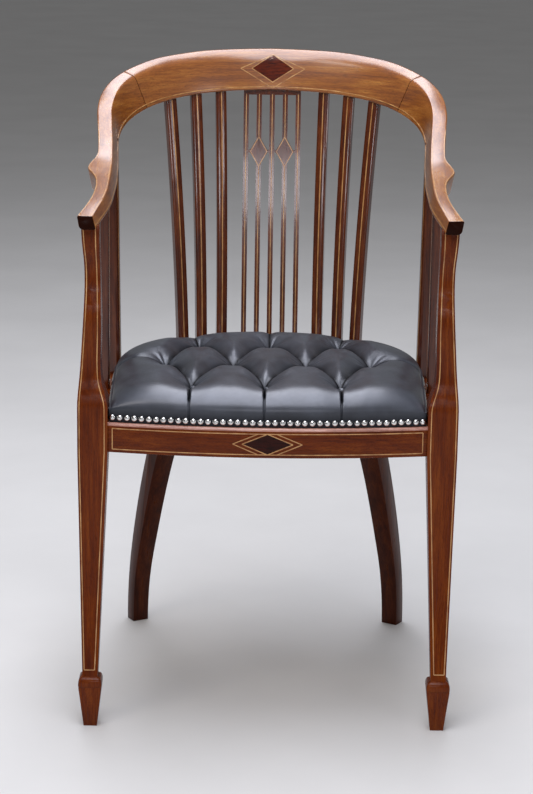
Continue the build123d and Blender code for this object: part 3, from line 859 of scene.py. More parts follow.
def ring_faces(rings: int, around: int, closed: bool = True) -> Faces:
    """Faces of a tube of rings.

    Args:
        rings: Number of rings.
        around: Points in each ring.
        closed: Whether the ends get caps.

    Returns:
        Corner numbers of each face.
    """
    faces: Faces = []
    for a in range(0, (rings - 1) * around, around):
        for k in range(around):
            n = (k + 1) % around
            faces.append((a + k, a + n, a + around + n, a + around + k))
    if closed:
        faces.append(tuple(range(around)))
        faces.append(tuple((rings - 1) * around + k for k in reversed(range(around))))
    return faces


def sheet_faces(columns: int, rows: int) -> Faces:
    """Faces of a sheet of points that is filled column by column.

    Args:
        columns: Number of faces across.
        rows: Number of faces up.

    Returns:
        Corner numbers of each face.
    """
    starts = [i * (rows + 1) + j for i in range(columns) for j in range(rows)]
    return [(a, a + 1, a + rows + 2, a + rows + 1) for a in starts]


def tube(name: str, rings: Sequence[Array], sharp: float) -> Object:
    """Makes a tube through rings of points, with both ends capped.

    Args:
        name: Name of the object.
        rings: Points of each ring, in millimetres.
        sharp: Edges sharper than this many degrees stay sharp.

    Returns:
        The object.
    """
    faces = ring_faces(len(rings), len(rings[0]))
    return mesh_object(name, np.concatenate(rings), faces, sharp)


def raised(plan: Array, z: float) -> Array:
    """Lifts plan points to a height.

    Args:
        plan: Plan points.
        z: Height.

    Returns:
        Points in space.
    """
    return np.column_stack([plan, np.full(len(plan), z)])


def store_grain(piece: Object, coordinates: Callable[[Array], Array]) -> None:
    """Stores grain coordinates on every point of a piece, shifted by its name.

    Args:
        piece: The object.
        coordinates: Turns points into distances along, across and through the grain.
    """
    values = coordinates(mesh_points(piece.data))
    shift = sum(ord(c) * (i + 3) for i, c in enumerate(piece.name)) * GRAIN_SHIFT
    values = values + shift * np.array(GRAIN_STEPS)
    layer = piece.data.attributes.new("grain", "FLOAT_VECTOR", "POINT")
    layer.data.foreach_set("vector", values.astype(np.float32).ravel())


@dataclass
class Ribbons:
    """Flat inlaid strings, gathered into one object."""

    name: str
    width: float = 1.3
    proud: float = 0.12
    sunk: float = 0.5
    sharp: float = 30.0
    points: list[Array] = field(default_factory=list)
    faces: Faces = field(default_factory=list)

    def lay(self, path: Sequence[Array], facing: Sequence[Array]) -> None:
        """Lays one string along a path.

        Args:
            path: Points on the surface, in millimetres.
            facing: Outward direction of the surface at each point.
        """
        path, facing = np.asarray(path, float), unit(np.asarray(facing, float))
        along = unit(np.gradient(path, axis=0))
        across = unit(np.cross(along, facing)) * self.width / 2
        top, low = path + facing * self.proud, path - facing * self.sunk
        ring = np.stack([top - across, top + across, low + across, low - across], axis=1)
        start = sum(len(p) for p in self.points)
        self.points.append(ring.reshape(-1, 3))
        self.faces += [tuple(start + k for k in f) for f in ring_faces(len(path), 4)]

    def build(self, palette: Palette, finish: Finish = Finish.BOXWOOD, *nodes: str) -> Object:
        """Makes the object.

        Args:
            palette: Materials.
            finish: Finish of the strings.
            *nodes: CAD nodes that the strings replace.

        Returns:
            The dressed piece.
        """
        piece = mesh_object(self.name, np.concatenate(self.points), self.faces, self.sharp)
        return palette.dress(piece, finish, *nodes)


class Slices:
    """Cuts a CAD node by level planes to find where its faces are."""

    def __init__(self, node: Object) -> None:
        """Reads the node's mesh.

        Args:
            node: The CAD node's object.
        """
        self.points = mesh_points(node.data)
        pairs = np.empty(len(node.data.edges) * 2, dtype=np.int64)
        node.data.edges.foreach_get("vertices", pairs)
        self.pairs = pairs.reshape(-1, 2)
        self.bottom, self.top = self.points[:, 2].min(), self.points[:, 2].max()

    def at(self, z: float) -> Array:
        """Points where edges cross a level.

        Args:
            z: Height of the plane.

        Returns:
            Plan points of the cut.
        """
        a, b = self.points[self.pairs[:, 0]], self.points[self.pairs[:, 1]]
        cross = (a[:, 2] - z) * (b[:, 2] - z) < 0
        a, b = a[cross], b[cross]
        t = ((z - a[:, 2]) / (b[:, 2] - a[:, 2]))[:, None]
        return (a + (b - a) * t)[:, :2]


@dataclass
class TopRail(Maker):
    """Crest and arms: one horseshoe rail in three pieces, with its inlay.

    The tables give millimetres by share of the way from straight back to an arm tip.
    """

    drop: Table = (
        (0, 0), (0.132, 2.4), (0.256, 11), (0.349, 28.5), (0.435, 50), (0.503, 71.5),
        (0.553, 91.5), (0.602, 110.5), (0.662, 126.5), (0.728, 137.5), (0.827, 149.5),
        (0.917, 161), (1, 174),
    )
    height: Table = (
        (0, 64), (0.132, 64), (0.256, 62.5), (0.349, 55), (0.435, 49), (0.503, 45), (0.602, 38),
        (0.728, 29), (0.827, 24.5), (0.917, 21), (1, 18.5),
    )
    inner: Table = (
        (0, 2.5), (0.349, 0.5), (0.435, 0), (0.503, -1.2), (0.553, -3.5), (0.602, -6.2),
        (0.728, -9.7), (0.827, -10), (0.877, -8.6), (1, 3.5),
    )
    outer: Table = (
        (0, 19.5), (0.256, 20), (0.349, 21.6), (0.435, 22), (0.503, 19.8), (0.553, 16.9),
        (0.602, 14.2), (0.642, 13), (0.665, 15.2), (0.685, 19.2), (0.702, 22.2), (0.717, 23),
        (0.73, 21.4), (0.746, 17.4), (0.768, 12.6), (0.794, 9.2), (0.836, 7.8), (0.877, 8.8),
        (0.917, 11.8), (0.96, 17.6), (1, 24),
    )
    lift: Table = ((0, 2.5), (0.25, 2.3), (0.38, 1.0), (0.48, 0.0), (1, 0.0))
    roll: Table = ((0, 14), (0.2, 13.5), (0.3, 11), (0.4, 4), (0.48, 0.5), (1, 0.5))
    top_round: Table = ((0, 30), (0.25, 26), (0.38, 9), (0.48, 1.5), (1, 1.5))
    low_round: Table = ((0, 3.5), (0.85, 3.5), (1, 6.5))
    crown_round: Table = ((0, 4.0), (0.3, 3.8), (0.45, 2.0), (1, 2.0))
    inner_round: float = 2.2
    outer_splay: float = 1.0
    arc_steps: tuple[int, int, int, int] = (4, 9, 4, 6)
    stations: int = 150
    sharp: float = 50.0
    joint_gap: float = 0.35
    joint_slant: float = 8.0
    joint_ease: float = 70.0
    glue_wide: float = 0.9
    glue_proud: float = 0.07
    grain_stops: int = 900
    grain_past: float = 5.0
    string_rise: float = 5.0
    string_short: float = 2.0
    string_stops: int = 420
    arm_string_from: float = 0.46
    arm_string_inset: float = 2.0
    arm_string_stops: int = 150
    tip_stops: int = 14
    lozenge_half: float = 31.0
    lozenge_tall: float = 19.5
    lozenge_height: float = 847.0
    lozenge_grid: Counts = (40, 12)
    lozenge_sharp: float = 60.0
    frame_half: float = 47.6
    frame_span: Pair = (819.0, 866.0)
    diamond_stops: int = 24

    def corners(self, distance: float) -> tuple[Array, list[float]]:
        """Section corners as (outward, height) and the radius at each.

        Args:
            distance: Signed distance along the rail from straight back.

        Returns:
            Four corners, from the low inner one, and their radii.
        """
        share = np.array([abs(distance) / LAYOUT.arm_reach])
        tables = (self.drop, self.height, self.inner, self.outer, self.roll, self.lift)
        fall, tall, inner, outer, roll, lift = (float(smooth(t, share)[0]) for t in tables)
        high = LAYOUT.crest_top - fall + lift
        slope = math.tan(LAYOUT.lean) * tall
        low_outer = (outer - slope + self.outer_splay, high - tall)
        corners = [(inner - slope, high - tall), (inner, high - roll), (outer, high), low_outer]
        rounds = (self.top_round, self.crown_round, self.low_round)
        radii = [self.inner_round, *(float(smooth(t, share)[0]) for t in rounds)]
        return np.array(corners), radii

    def profile(self, distance: float) -> Array:
        """Rounded section as (outward, height), from the low inner corner.

        Args:
            distance: Signed distance along the rail.

        Returns:
            Points of the section, one row each.
        """
        corners, radii = self.corners(distance)
        points = []
        for i, here in enumerate(corners):
            before, after = unit(corners[i - 1] - here), unit(corners[(i + 1) % 4] - here)
            angle = math.acos(float(np.clip(before @ after, -1, 1)))
            middle = here + unit(before + after) * (radii[i] / math.sin(angle / 2))
            x, y = here + before * (radii[i] / math.tan(angle / 2)) - middle
            for step in range(self.arc_steps[i] + 1):
                turn = (angle - math.pi) * step / self.arc_steps[i]
                c, s = math.cos(turn), math.sin(turn)
                points.append(middle + np.array([c * x - s * y, s * x + c * y]))
        return np.array(points)

    def section(self, distance: float, shrink: float = 0.0) -> Array:
        """Rounded section in space, slanted near the scarf as the joint is.

        Args:
            distance: Signed distance along the rail.
            shrink: How far the section is drawn in.

        Returns:
            Points of the section, one row each.
        """
        flat = self.profile(distance)
        flat = flat - unit(flat - flat.mean(axis=0)) * shrink
        tall = 2 * (flat[:, 1] - flat[:, 1].min()) / np.ptp(flat[:, 1]) - 1
        near = bell(abs(distance) - LAYOUT.scarf_reach, self.joint_ease)
        slant = math.copysign(self.joint_slant * near, distance)
        place, out = LAYOUT.top_line.along(distance + slant * tall)
        return np.column_stack([place + flat[:, :1] * out, flat[:, 1]])

    def face_point(self, distance: float, rise: float) -> tuple[Array, Array]:
        """Point on the inner face and the direction that face looks.

        Args:
            distance: Signed distance along the rail.
            rise: Height above the lower edge.

        Returns:
            The point and the direction.
        """
        first = self.arc_steps[0]
        side = self.profile(distance)[first : first + self.arc_steps[1] + 2]
        z = self.corners(distance)[0][0][1] + rise
        low, high = (float(np.interp(z + step, side[:, 1], side[:, 0])) for step in (-0.5, 0.5))
        place, out = LAYOUT.top_line.at(distance)
        tilt = unit(np.array([-1.0, high - low]))
        point = np.array([*(place + (low + high) / 2 * out), z])
        return point, np.array([tilt[0] * out[0], tilt[0] * out[1], tilt[1]])

    def loft(self, name: str, start: float, end: float) -> Object:
        """Lofts one piece of the rail.

        Args:
            name: Name of the object.
            start: Signed distance at one end.
            end: Signed distance at the other end.

        Returns:
            The lofted object with its grain along the rail.
        """
        gap = math.copysign(self.joint_gap, end - start)
        stops = np.linspace(start + gap, end - gap, self.stations)
        rings = [self.section(start, self.joint_gap)]
        rings += [self.section(float(s)) for s in stops]
        rings.append(self.section(end, self.joint_gap))
        piece = tube(name, rings, self.sharp)
        store_grain(piece, self.grain)
        # Arm tip end faces: end grain, darkened further as painted shade
        layer = piece.data.attributes.new("end_grain", "FLOAT", "POINT")
        for spot, vertex in zip(layer.data, piece.data.vertices):
            spot.value = float(vertex.co.y < (LAYOUT.front_y + self.joint_gap / 2) * MM)
        return piece

    def grain(self, points: Array) -> Array:
        """Grain that follows the horseshoe.

        Args:
            points: Points in millimetres.

        Returns:
            Distance along the rail, distance from its middle line, and height.
        """
        reach = LAYOUT.arm_reach + self.grain_past
        stops = np.linspace(-reach, reach, self.grain_stops)
        place, out = LAYOUT.top_line.along(stops)
        near = np.linalg.norm(points[:, None, :2] - place[None], axis=2).argmin(axis=1)
        offset = ((points[:, :2] - place[near]) * out[near]).sum(axis=1)
        return np.column_stack([stops[near], offset, points[:, 2]])

    def build(self) -> None:
        """Makes crest, arms, lozenge and strings."""
        reach, scarf = LAYOUT.arm_reach, LAYOUT.scarf_reach
        spans = (
            ("crest_rail_turned", -scarf, scarf, "crest_rail"),
            ("arm_right_shaped", scarf, reach, "arm_right"),
            ("arm_left_shaped", -scarf, -reach, "arm_left"),
        )
        for name, start, end, node in spans:
            self.palette.dress(self.loft(name, start, end), Finish.CREST, node)
        self.edge_strings()
        self.glue_lines()
        self.lozenge()

    def glue_lines(self) -> None:
        """Dark line of old glue where each arm meets the crest, over the top and inner face."""
        lines = Ribbons("scarf_glue_lines", width=self.glue_wide, proud=self.glue_proud)
        for side in (-1, 1):
            ring = self.section(side * LAYOUT.scarf_reach)
            path = ring[self.arc_steps[0] : sum(self.arc_steps[:3]) + 3]
            lines.lay(path, path - ring.mean(axis=0))
        lines.build(self.palette, Finish.DARK_VENEER)

    def edge_strings(self) -> None:
        """String along the lower inner edge, and round the flat top of each arm."""
        strings = Ribbons("top_rail_stringing")
        reach = LAYOUT.arm_reach - self.string_short
        stops = np.linspace(-reach, reach, self.string_stops)
        strings.lay(*zip(*(self.face_point(float(s), self.string_rise) for s in stops)))
        for side in (-1, 1):
            strings.lay(*self.arm_edge(side))
        strings.build(self.palette)

    def arm_edge(self, side: int) -> tuple[Array, Array]:
        """One string: out along the inner top edge, across the tip and back along the outer edge.

        Args:
            side: One for the right arm, minus one for the left arm.

        Returns:
            Path and facing directions.
        """
        first, last = self.arm_string_from * LAYOUT.arm_reach, LAYOUT.arm_reach - self.string_short
        rows = []
        for corner, inset in ((1, self.arm_string_inset), (2, -self.arm_string_inset)):
            row = []
            for s in np.linspace(first, last, self.arm_string_stops):
                corners, _ = self.corners(float(s))
                place, out = LAYOUT.top_line.at(side * s)
                reach = corners[corner][0] + inset
                row.append((*(place + reach * out), np.interp(reach, *corners[1:3].T)))
            rows.append(np.array(row))
        inner, outer = rows
        tip = np.linspace(inner[-1], outer[-1], self.tip_stops)[1:-1]
        path = np.concatenate([inner, tip, outer[::-1]])
        step = np.gradient(inner, axis=0)
        rise = step[:, 2] / np.maximum(np.linalg.norm(step, axis=1), 1e-6)
        tilt = np.concatenate([rise, np.full(len(tip), rise[-1]), rise[::-1]])
        return path, np.column_stack([np.zeros(len(path)), tilt, np.ones(len(path))])

    def on_face(self, across: float, z: float) -> tuple[Array, Array]:
        """Point on the crest's inner face by distance along it and height.

        Args:
            across: Signed distance from the middle.
            z: Height.

        Returns:
            The point and the direction of the face.
        """
        return self.face_point(across, z - self.corners(across)[0][0][1])

    def lozenge(self) -> None:
        """Dark lozenge, its own string and the wider frame string."""
        middle, half, tall = self.lozenge_height, self.lozenge_half, self.lozenge_tall
        columns, rows = self.lozenge_grid
        points = []
        for u in np.linspace(-1, 1, columns + 1):
            for v in np.linspace(-1, 1, rows + 1) * (1 - abs(u)):
                spot, out = self.on_face(u * half, middle + v * tall)
                points.append(spot + out * VENEER_PROUD)
        faces = sheet_faces(columns, rows)
        sheet = mesh_object("crest_lozenge_laid", np.array(points), faces, self.lozenge_sharp)
        self.palette.dress(sheet, Finish.VENEER, "crest_lozenge")
        strings = Ribbons("crest_stringing_laid")
        lines = diamond(0.0, half, middle - tall, middle, middle + tall)
        lines += diamond(0.0, self.frame_half, self.frame_span[0], middle, self.frame_span[1])
        for (x0, z0), (x1, z1) in lines:
            steps = np.linspace(0, 1, self.diamond_stops)
            spots = (self.on_face(x0 + (x1 - x0) * t, z0 + (z1 - z0) * t) for t in steps)
            strings.lay(*zip(*spots))
        strings.build(self.palette, Finish.BOXWOOD, "crest_stringing")


class Along(Enum):
    """Which way the grain of a piece of timber runs."""

    HEIGHT = "height"
    WIDTH = "width"
    ARC = "arc"

    def coordinates(self, points: Array) -> Array:
        """Grain coordinates of points.

        Args:
            points: Points in millimetres.

        Returns:
            Distance along, across and through the grain.
        """
        x, y, z = points.T
        if self is Along.HEIGHT:
            return np.column_stack([z, x, y])
        if self is Along.WIDTH:
            return np.column_stack([x, y, z])
        behind = y - LAYOUT.seat_line.side_y
        return np.column_stack([np.arctan2(x, behind) * ARC_RADIUS, np.hypot(x, behind), z])


class SlatTrack:
    """Middle of a slat's inner face, followed up its CAD node."""

    TRIM = 0.5

    def __init__(self, node: Object) -> None:
        """Finds which way the slat faces.

        Args:
            node: The slat's CAD node.
        """
        self.cuts = Slices(node)
        self.low, self.high = self.cuts.bottom + self.TRIM, self.cuts.top - self.TRIM
        first = self.cuts.at((self.low + self.high) / 2).mean(axis=0)
        line = LAYOUT.seat_line
        toward = np.array([0.0, line.back_y - line.back]) - first
        if abs(first[0]) > line.half - line.corner + line.corner * math.sin(line.turn):
            middle = np.array([math.copysign(line.half - line.corner, first[0]), line.side_y])
            toward = middle - first
            toward[1] = min(toward[1], 0.0)
        self.aim = unit(toward)
        self.turn = np.array([-self.aim[1], self.aim[0]])

    def stations(self, count: int, low: float | None = None) -> list[tuple[Array, float, float]]:
        """Middle of the face, width and thickness at even heights.

        Args:
            count: Number of heights.
            low: Lowest height, if it isn't the foot.

        Returns:
            One entry for each height where the node is cut.
        """
        rows = []
        for z in np.linspace(low or self.low, self.high, count):
            cut = self.cuts.at(float(z))
            if len(cut) < 3:
                continue
            across, deep = cut @ self.turn, cut @ self.aim
            spot = self.turn * (across.min() + across.max()) / 2 + self.aim * deep.max()
            rows.append((np.array([*spot, z]), float(np.ptp(across)), float(np.ptp(deep))))
        return rows


@dataclass
class FrontRail(Maker):
    """Bow front rail with a rounded top arris, its border string and its lozenge."""

    half: float = 211.0
    bottom: float = 388.0
    thick: float = 26.0
    arris: float = 3.8
    arris_steps: int = 9
    low_arris: Table = ((1.0, 0.0), (0.3, 0.3), (0.0, 1.0))
    stations: int = 90
    sharp: float = 35.0
    # Thin pale skin that paints the highlight on the top arris
    highlight_from: float = 0.02
    highlight_steps: int = 11
    highlight_flat: float = 1.1
    highlight_proud: float = 0.08
    highlight_sunk: float = 0.3
    highlight_sharp: float = 50.0
    string_half: float = 205.5
    string_span: Pair = (392.0, 421.4)
    string_wide: float = 1.3
    string_stops: int = 50
    lozenge_half: float = 34.7
    frame_half: float = 47.0
    tip_inset: float = 1.2
    lozenge_grid: Counts = (40, 10)
    lozenge_sharp: float = 60.0

    def place(self, x: Array, inset: Array, z: Array) -> Array:
        """Points on the rail.

        Args:
            x: Sideways places.
            inset: Distances back from the bow.
            z: Heights.

        Returns:
            Points, one row each.
        """
        x, inset, z = np.broadcast_arrays(x, inset, z)
        radius = LAYOUT.bow_radius - inset
        return np.column_stack([x, LAYOUT.bow_centre_y - np.sqrt(radius**2 - x**2), z])

    def sweep(self, name: str, section: Sequence[Sequence[float]], sharp: float) -> Object:
        """Sweeps a section along the bow.

        Args:
            name: Name of the object.
            section: Insets and heights of the section's corners.
            sharp: Edges sharper than this many degrees stay sharp.

        Returns:
            The object with its grain from side to side.
        """
        inset, height = np.array(section).T
        stops = np.linspace(-self.half, self.half, self.stations)
        piece = tube(name, [self.place(x, inset, height) for x in stops], sharp)
        store_grain(piece, Along.WIDTH.coordinates)
        return piece

    def build(self) -> None:
        """Makes the rail, the painted highlight on its top edge, and its inlay."""
        top, bottom = LAYOUT.rail_top, self.bottom
        section = [(inset, bottom + rise) for inset, rise in self.low_arris]
        for a in np.linspace(0, math.pi / 2, self.arris_steps):
            section.append((self.arris * (1 - math.cos(a)), top - self.arris * (1 - math.sin(a))))
        section += [(self.thick, top), (self.thick, bottom)]
        rail = self.sweep("front_rail_timber", section, self.sharp)
        self.palette.dress(rail, Finish.FRAME, "front_rail")
        self.worn_edge()
        self.inlay()

    def worn_edge(self) -> None:
        """Thin pale skin over the top arris that paints the highlight along it."""
        top, end = LAYOUT.rail_top, self.arris + self.highlight_flat
        turn = np.linspace(self.highlight_from, math.pi / 2, self.highlight_steps)
        out = np.column_stack([-np.cos(turn), np.sin(turn)])
        arc = np.array([self.arris, top - self.arris]) + self.arris * out
        skin = np.concatenate([arc + out * self.highlight_proud, [(end, top + self.highlight_proud)]])
        under = np.concatenate([[(end, top - self.highlight_sunk)], (arc - out * self.highlight_sunk)[::-1]])
        section = np.concatenate([skin, under])
        edge = self.sweep("front_rail_worn_edge", section, self.highlight_sharp)
        self.palette.dress(edge, Finish.WORN)

    def inlay(self) -> None:
        """Lays the border, the lozenge and its two strings."""
        strings = Ribbons("front_rail_stringing_laid", width=self.string_wide)
        edge = self.string_wide / 2
        half = self.string_half - edge
        low, high = self.string_span[0] + edge, self.string_span[1] - edge
        middle, tall = (low + high) / 2, (high - low) / 2
        inner, reach = self.lozenge_half - self.tip_inset, self.frame_half - self.tip_inset
        border = [(-half, low), (half, low), (half, high), (-half, high)]
        lines = list(zip(border, border[1:] + border[:1]))
        lines += diamond(0.0, inner, low, middle, high)
        for side in (-1, 1):
            for z in (high, low):
                lines.append(((side * reach, middle), (side * (reach - inner), z)))
        for (x0, z0), (x1, z1) in lines:
            t = np.linspace(0, 1, self.string_stops)
            path = self.place(x0 + (x1 - x0) * t, 0.0, z0 + (z1 - z0) * t)
            strings.lay(path, (path - np.array([0.0, LAYOUT.bow_centre_y, 0.0])) * (1, 1, 0))
        strings.build(self.palette, Finish.BOXWOOD, "front_rail_stringing")
        columns, rows = self.lozenge_grid
        points = []
        for u in np.linspace(-1, 1, columns + 1):
            v = np.linspace(-1, 1, rows + 1) * (1 - abs(u))
            points.append(self.place(u * inner, -VENEER_PROUD, middle + v * tall))
        faces = sheet_faces(columns, rows)
        name = "front_rail_lozenge_laid"
        sheet = mesh_object(name, np.concatenate(points), faces, self.lozenge_sharp)
        self.palette.dress(sheet, Finish.DARK_VENEER, "front_rail_lozenge")


@dataclass
class FrameTimber(Maker):
    """Legs, rails, slats and splat: smoothed copies of their CAD nodes with softened arrises."""

    arris: float = 0.7
    sharp: float = 32.0
    weld: float = 2e-6
    flat_angle: float = 0.6
    slat_crown: float = 1.5
    slat_edge: float = 0.6
    slat_edge_power: int = 9
    slat_across: int = 13
    slat_stations: int = 70
    slat_back_inset: float = 1.0
    slat_sharp: float = 35.0
    curved_rails: tuple[str, ...] = ("back_rail", "side_rail_left", "side_rail_right")

    def copy(self, node: Object, along: Along, bevelled: bool) -> Object:
        """Copies a node, joins its triangles and softens its edges.

        Args:
            node: The CAD node's object.
            along: Which way its grain runs.
            bevelled: Whether its sharp edges are rounded.

        Returns:
            The new object.
        """
        mesh = bpy.data.meshes.new(node.name + "_timber")
        work = bmesh.new()
        work.from_mesh(node.data)
        bmesh.ops.remove_doubles(work, verts=work.verts, dist=self.weld)
        limit = math.radians(self.flat_angle)
        bmesh.ops.dissolve_limit(work, angle_limit=limit, verts=work.verts, edges=work.edges)
        bmesh.ops.recalc_face_normals(work, faces=work.faces)
        work.to_mesh(mesh)
        work.free()
        piece = add_object(mesh.name, mesh)
        if bevelled:
            bevel = piece.modifiers.new("arris", "BEVEL")
            bevel.width = self.arris * MM
            bevel.segments = 2
            bevel.limit_method = "ANGLE"
            bevel.angle_limit = math.radians(self.sharp)
            settle(piece)
        shade(piece.data, self.sharp)
        store_grain(piece, along.coordinates)
        return piece

    def build(self) -> None:
        """Makes every visible piece of frame timber."""
        for name in sorted(self.nodes):
            node, finish = self.nodes[name], Finish.FRAME
            if "leg" in name:
                piece = self.copy(node, Along.HEIGHT, True)
                # Rear legs take the darker mahogany as painted shade
                finish = Finish.DEEP if "rear_leg" in name else Finish.FRAME
            elif name == "pierced_splat":
                piece, finish = self.copy(node, Along.HEIGHT, False), Finish.SLAT
            elif "_slat_" in name:
                piece, finish = self.slat(node), Finish.SLAT
            elif name in self.curved_rails:
                piece = self.copy(node, Along.ARC, False)
            else:
                continue
            self.palette.dress(piece, finish, name)

    def slat(self, node: Object) -> Object:
        """Rebuilds a slat with a gently rounded face inside the space of its CAD node.

        Args:
            node: The slat's CAD node.

        Returns:
            The new object.
        """
        track = SlatTrack(node)
        share = np.linspace(-1, 1, self.slat_across)
        edge = self.slat_edge * np.abs(share) ** self.slat_edge_power
        rings = []
        for spot, wide, thick in track.stations(self.slat_stations):
            front = np.column_stack([share * wide / 2, -self.slat_crown * share**2 - edge])
            half = wide / 2 - self.slat_back_inset
            flat = np.concatenate([front, [(half, -thick), (-half, -thick)]])
            ring = spot[None, :2] + flat[:, :1] * track.turn + flat[:, 1:] * track.aim
            rings.append(raised(ring, spot[2]))
        piece = tube(node.name + "_timber", rings, self.slat_sharp)
        store_grain(piece, Along.HEIGHT.coordinates)
        return piece


@dataclass
class SpadeCollars(Maker):
    """Rounded collar round the top of each spade foot, over the plain slope of the CAD leg."""

    ankle: float = 71.0
    spade: float = 56.5
    corner: float = 2.4
    corner_steps: int = 5
    sharp: float = 50.0
    profile: Table = (
        (72, -0.06), (70.3, 0.4), (69.3, 0.68), (67.8, 0.88), (65, 1.03), (62, 1.09), (59.4, 1.1),
        (57.6, 1.05), (57, 0.9),
    )

    def box(self, cuts: Slices, z: float) -> Array:
        """Sides of a leg at a level.

        Args:
            cuts: The leg's slices.
            z: Height of the level.

        Returns:
            Low and high corner in plan.
        """
        cut = cuts.at(z)
        return np.array([cut.min(axis=0), cut.max(axis=0)])

    def ring(self, low: Array, high: Array) -> Array:
        """Rectangle with rounded corners.

        Args:
            low: Low corner.
            high: High corner.

        Returns:
            Plan points, going round once.
        """
        (x0, y0), (x1, y1) = low, high
        quarters = []
        for k, corner in enumerate(((x1, y1), (x0, y1), (x0, y0), (x1, y0))):
            turn = np.linspace(0, math.pi / 2, self.corner_steps) + k * math.pi / 2
            arc = np.column_stack([np.cos(turn), np.sin(turn)])
            quarters.append(np.array(corner) + self.corner * (arc - np.sign(arc.mean(axis=0))))
        return np.concatenate(quarters)

    def build(self) -> None:
        """Makes both collars."""
        for side in ("left", "right"):
            cuts = Slices(self.nodes["front_leg_" + side])
            thin, wide = self.box(cuts, self.ankle), self.box(cuts, self.spade)
            rings = [
                raised(self.ring(*(thin + (wide - thin) * share)), z)
                for z, share in reversed(self.profile)
            ]
            piece = tube("spade_collar_" + side, rings, self.sharp)
            store_grain(piece, Along.HEIGHT.coordinates)
            self.palette.dress(piece, Finish.FRAME)


@dataclass
class FrameStrings(Maker):
    """Boxwood strings on legs, slats and splat, laid on the faces of their CAD nodes."""

    leg_low: float = 81.0
    leg_high: float = 686.0
    leg_stops: int = 220
    outer_inset: float = 2.6
    inner_inset: float = 4.4
    front_band: float = 4.0
    foot_stops: int = 8
    slat_low: float = 432.0
    slat_width: float = 1.5
    slat_stops: int = 60
    slat_up: float = 0.2
    splat_width: float = 1.2
    splat_trim: float = 1.0
    splat_cuts: int = 80
    splat_short: float = 14.0
    bar_stops: int = 20
    side_stops: int = 6
    pitch: float = 19.0
    lozenge: Pair = (12.0, 21.0)
    lozenge_height: float = 727.5

    def build(self) -> None:
        """Lays all frame strings."""
        for side, name in ((-1, "left"), (1, "right")):
            self.leg(name, side)
        slats = Ribbons("slat_stringing", width=self.slat_width)
        for name in sorted(n for n in self.nodes if "_slat_" in n):
            self.slat(slats, self.nodes[name])
        slats.build(self.palette)
        self.splat(self.nodes["pierced_splat"])

    def leg(self, name: str, side: int) -> None:
        """Two strings down the front of a leg and post, joined by one across at the ankle.

        Args:
            name: Which leg, left or right.
            side: One for the right leg, minus one for the left leg.
        """
        cuts = Slices(self.nodes["front_leg_" + name])
        insets = (self.outer_inset, self.inner_inset)[::-side]
        left, right = [], []
        for z in np.linspace(self.leg_low, self.leg_high, self.leg_stops):
            cut = cuts.at(float(z))
            front = cut[:, 1].min()
            near = cut[cut[:, 1] < front + self.front_band]
            left.append((near[:, 0].min() + insets[0], front, z))
            right.append((near[:, 0].max() - insets[1], front, z))
        strings = Ribbons("leg_stringing_" + name)
        for path in (np.array(left), np.array(right)):
            step = np.gradient(path, axis=0)
            strings.lay(path, np.column_stack([np.zeros(len(path)), -step[:, 2], step[:, 1]]))
        foot = np.linspace(left[0], right[0], self.foot_stops)
        strings.lay(foot, np.tile([0.0, -1.0, 0.0], (self.foot_stops, 1)))
        strings.build(self.palette)

    def slat(self, strings: Ribbons, node: Object) -> None:
        """One string up the middle of a slat's inner face.

        Args:
            strings: Where the string goes.
            node: The slat's CAD node.
        """
        track = SlatTrack(node)
        points = [spot for spot, _, _ in track.stations(self.slat_stops, self.slat_low)]
        strings.lay(points, np.tile([*track.aim, self.slat_up], (len(points), 1)))

    def splat(self, node: Object) -> None:
        """Strings up the bars and round the lozenges of the splat.

        Args:
            node: The splat's CAD node.
        """
        cuts = Slices(node)
        first, last = cuts.bottom + self.splat_trim, cuts.top - self.splat_trim
        heights = np.linspace(first, last, self.splat_cuts)
        fronts = np.array([cuts.at(float(z))[:, 1].min() for z in heights])
        facing = np.array([0.0, -1.0, (fronts[-1] - fronts[0]) / (heights[-1] - heights[0])])
        strings = Ribbons("splat_stringing", width=self.splat_width)
        low, high = self.slat_low, cuts.top - self.splat_short
        half, tall = self.lozenge
        middle = self.lozenge_height
        for bar in range(-2, 3):
            at = bar * self.pitch
            lines = [(self.bar_stops, ((at, low), (at, high)))]
            if abs(bar) == 1:
                sides = diamond(at, half, middle - tall, middle, middle + tall)
                lines = [(self.side_stops, side) for side in sides]
                lines.append((self.bar_stops, ((at, low), (at, middle - tall))))
                lines.append((self.bar_stops, ((at, middle + tall), (at, high))))
            for stops, (start, end) in lines:
                x, z = np.linspace(start, end, stops).T
                path = np.column_stack([x, np.interp(z, heights, fronts), z])
                strings.lay(path, np.tile(facing, (stops, 1)))
        strings.build(self.palette)


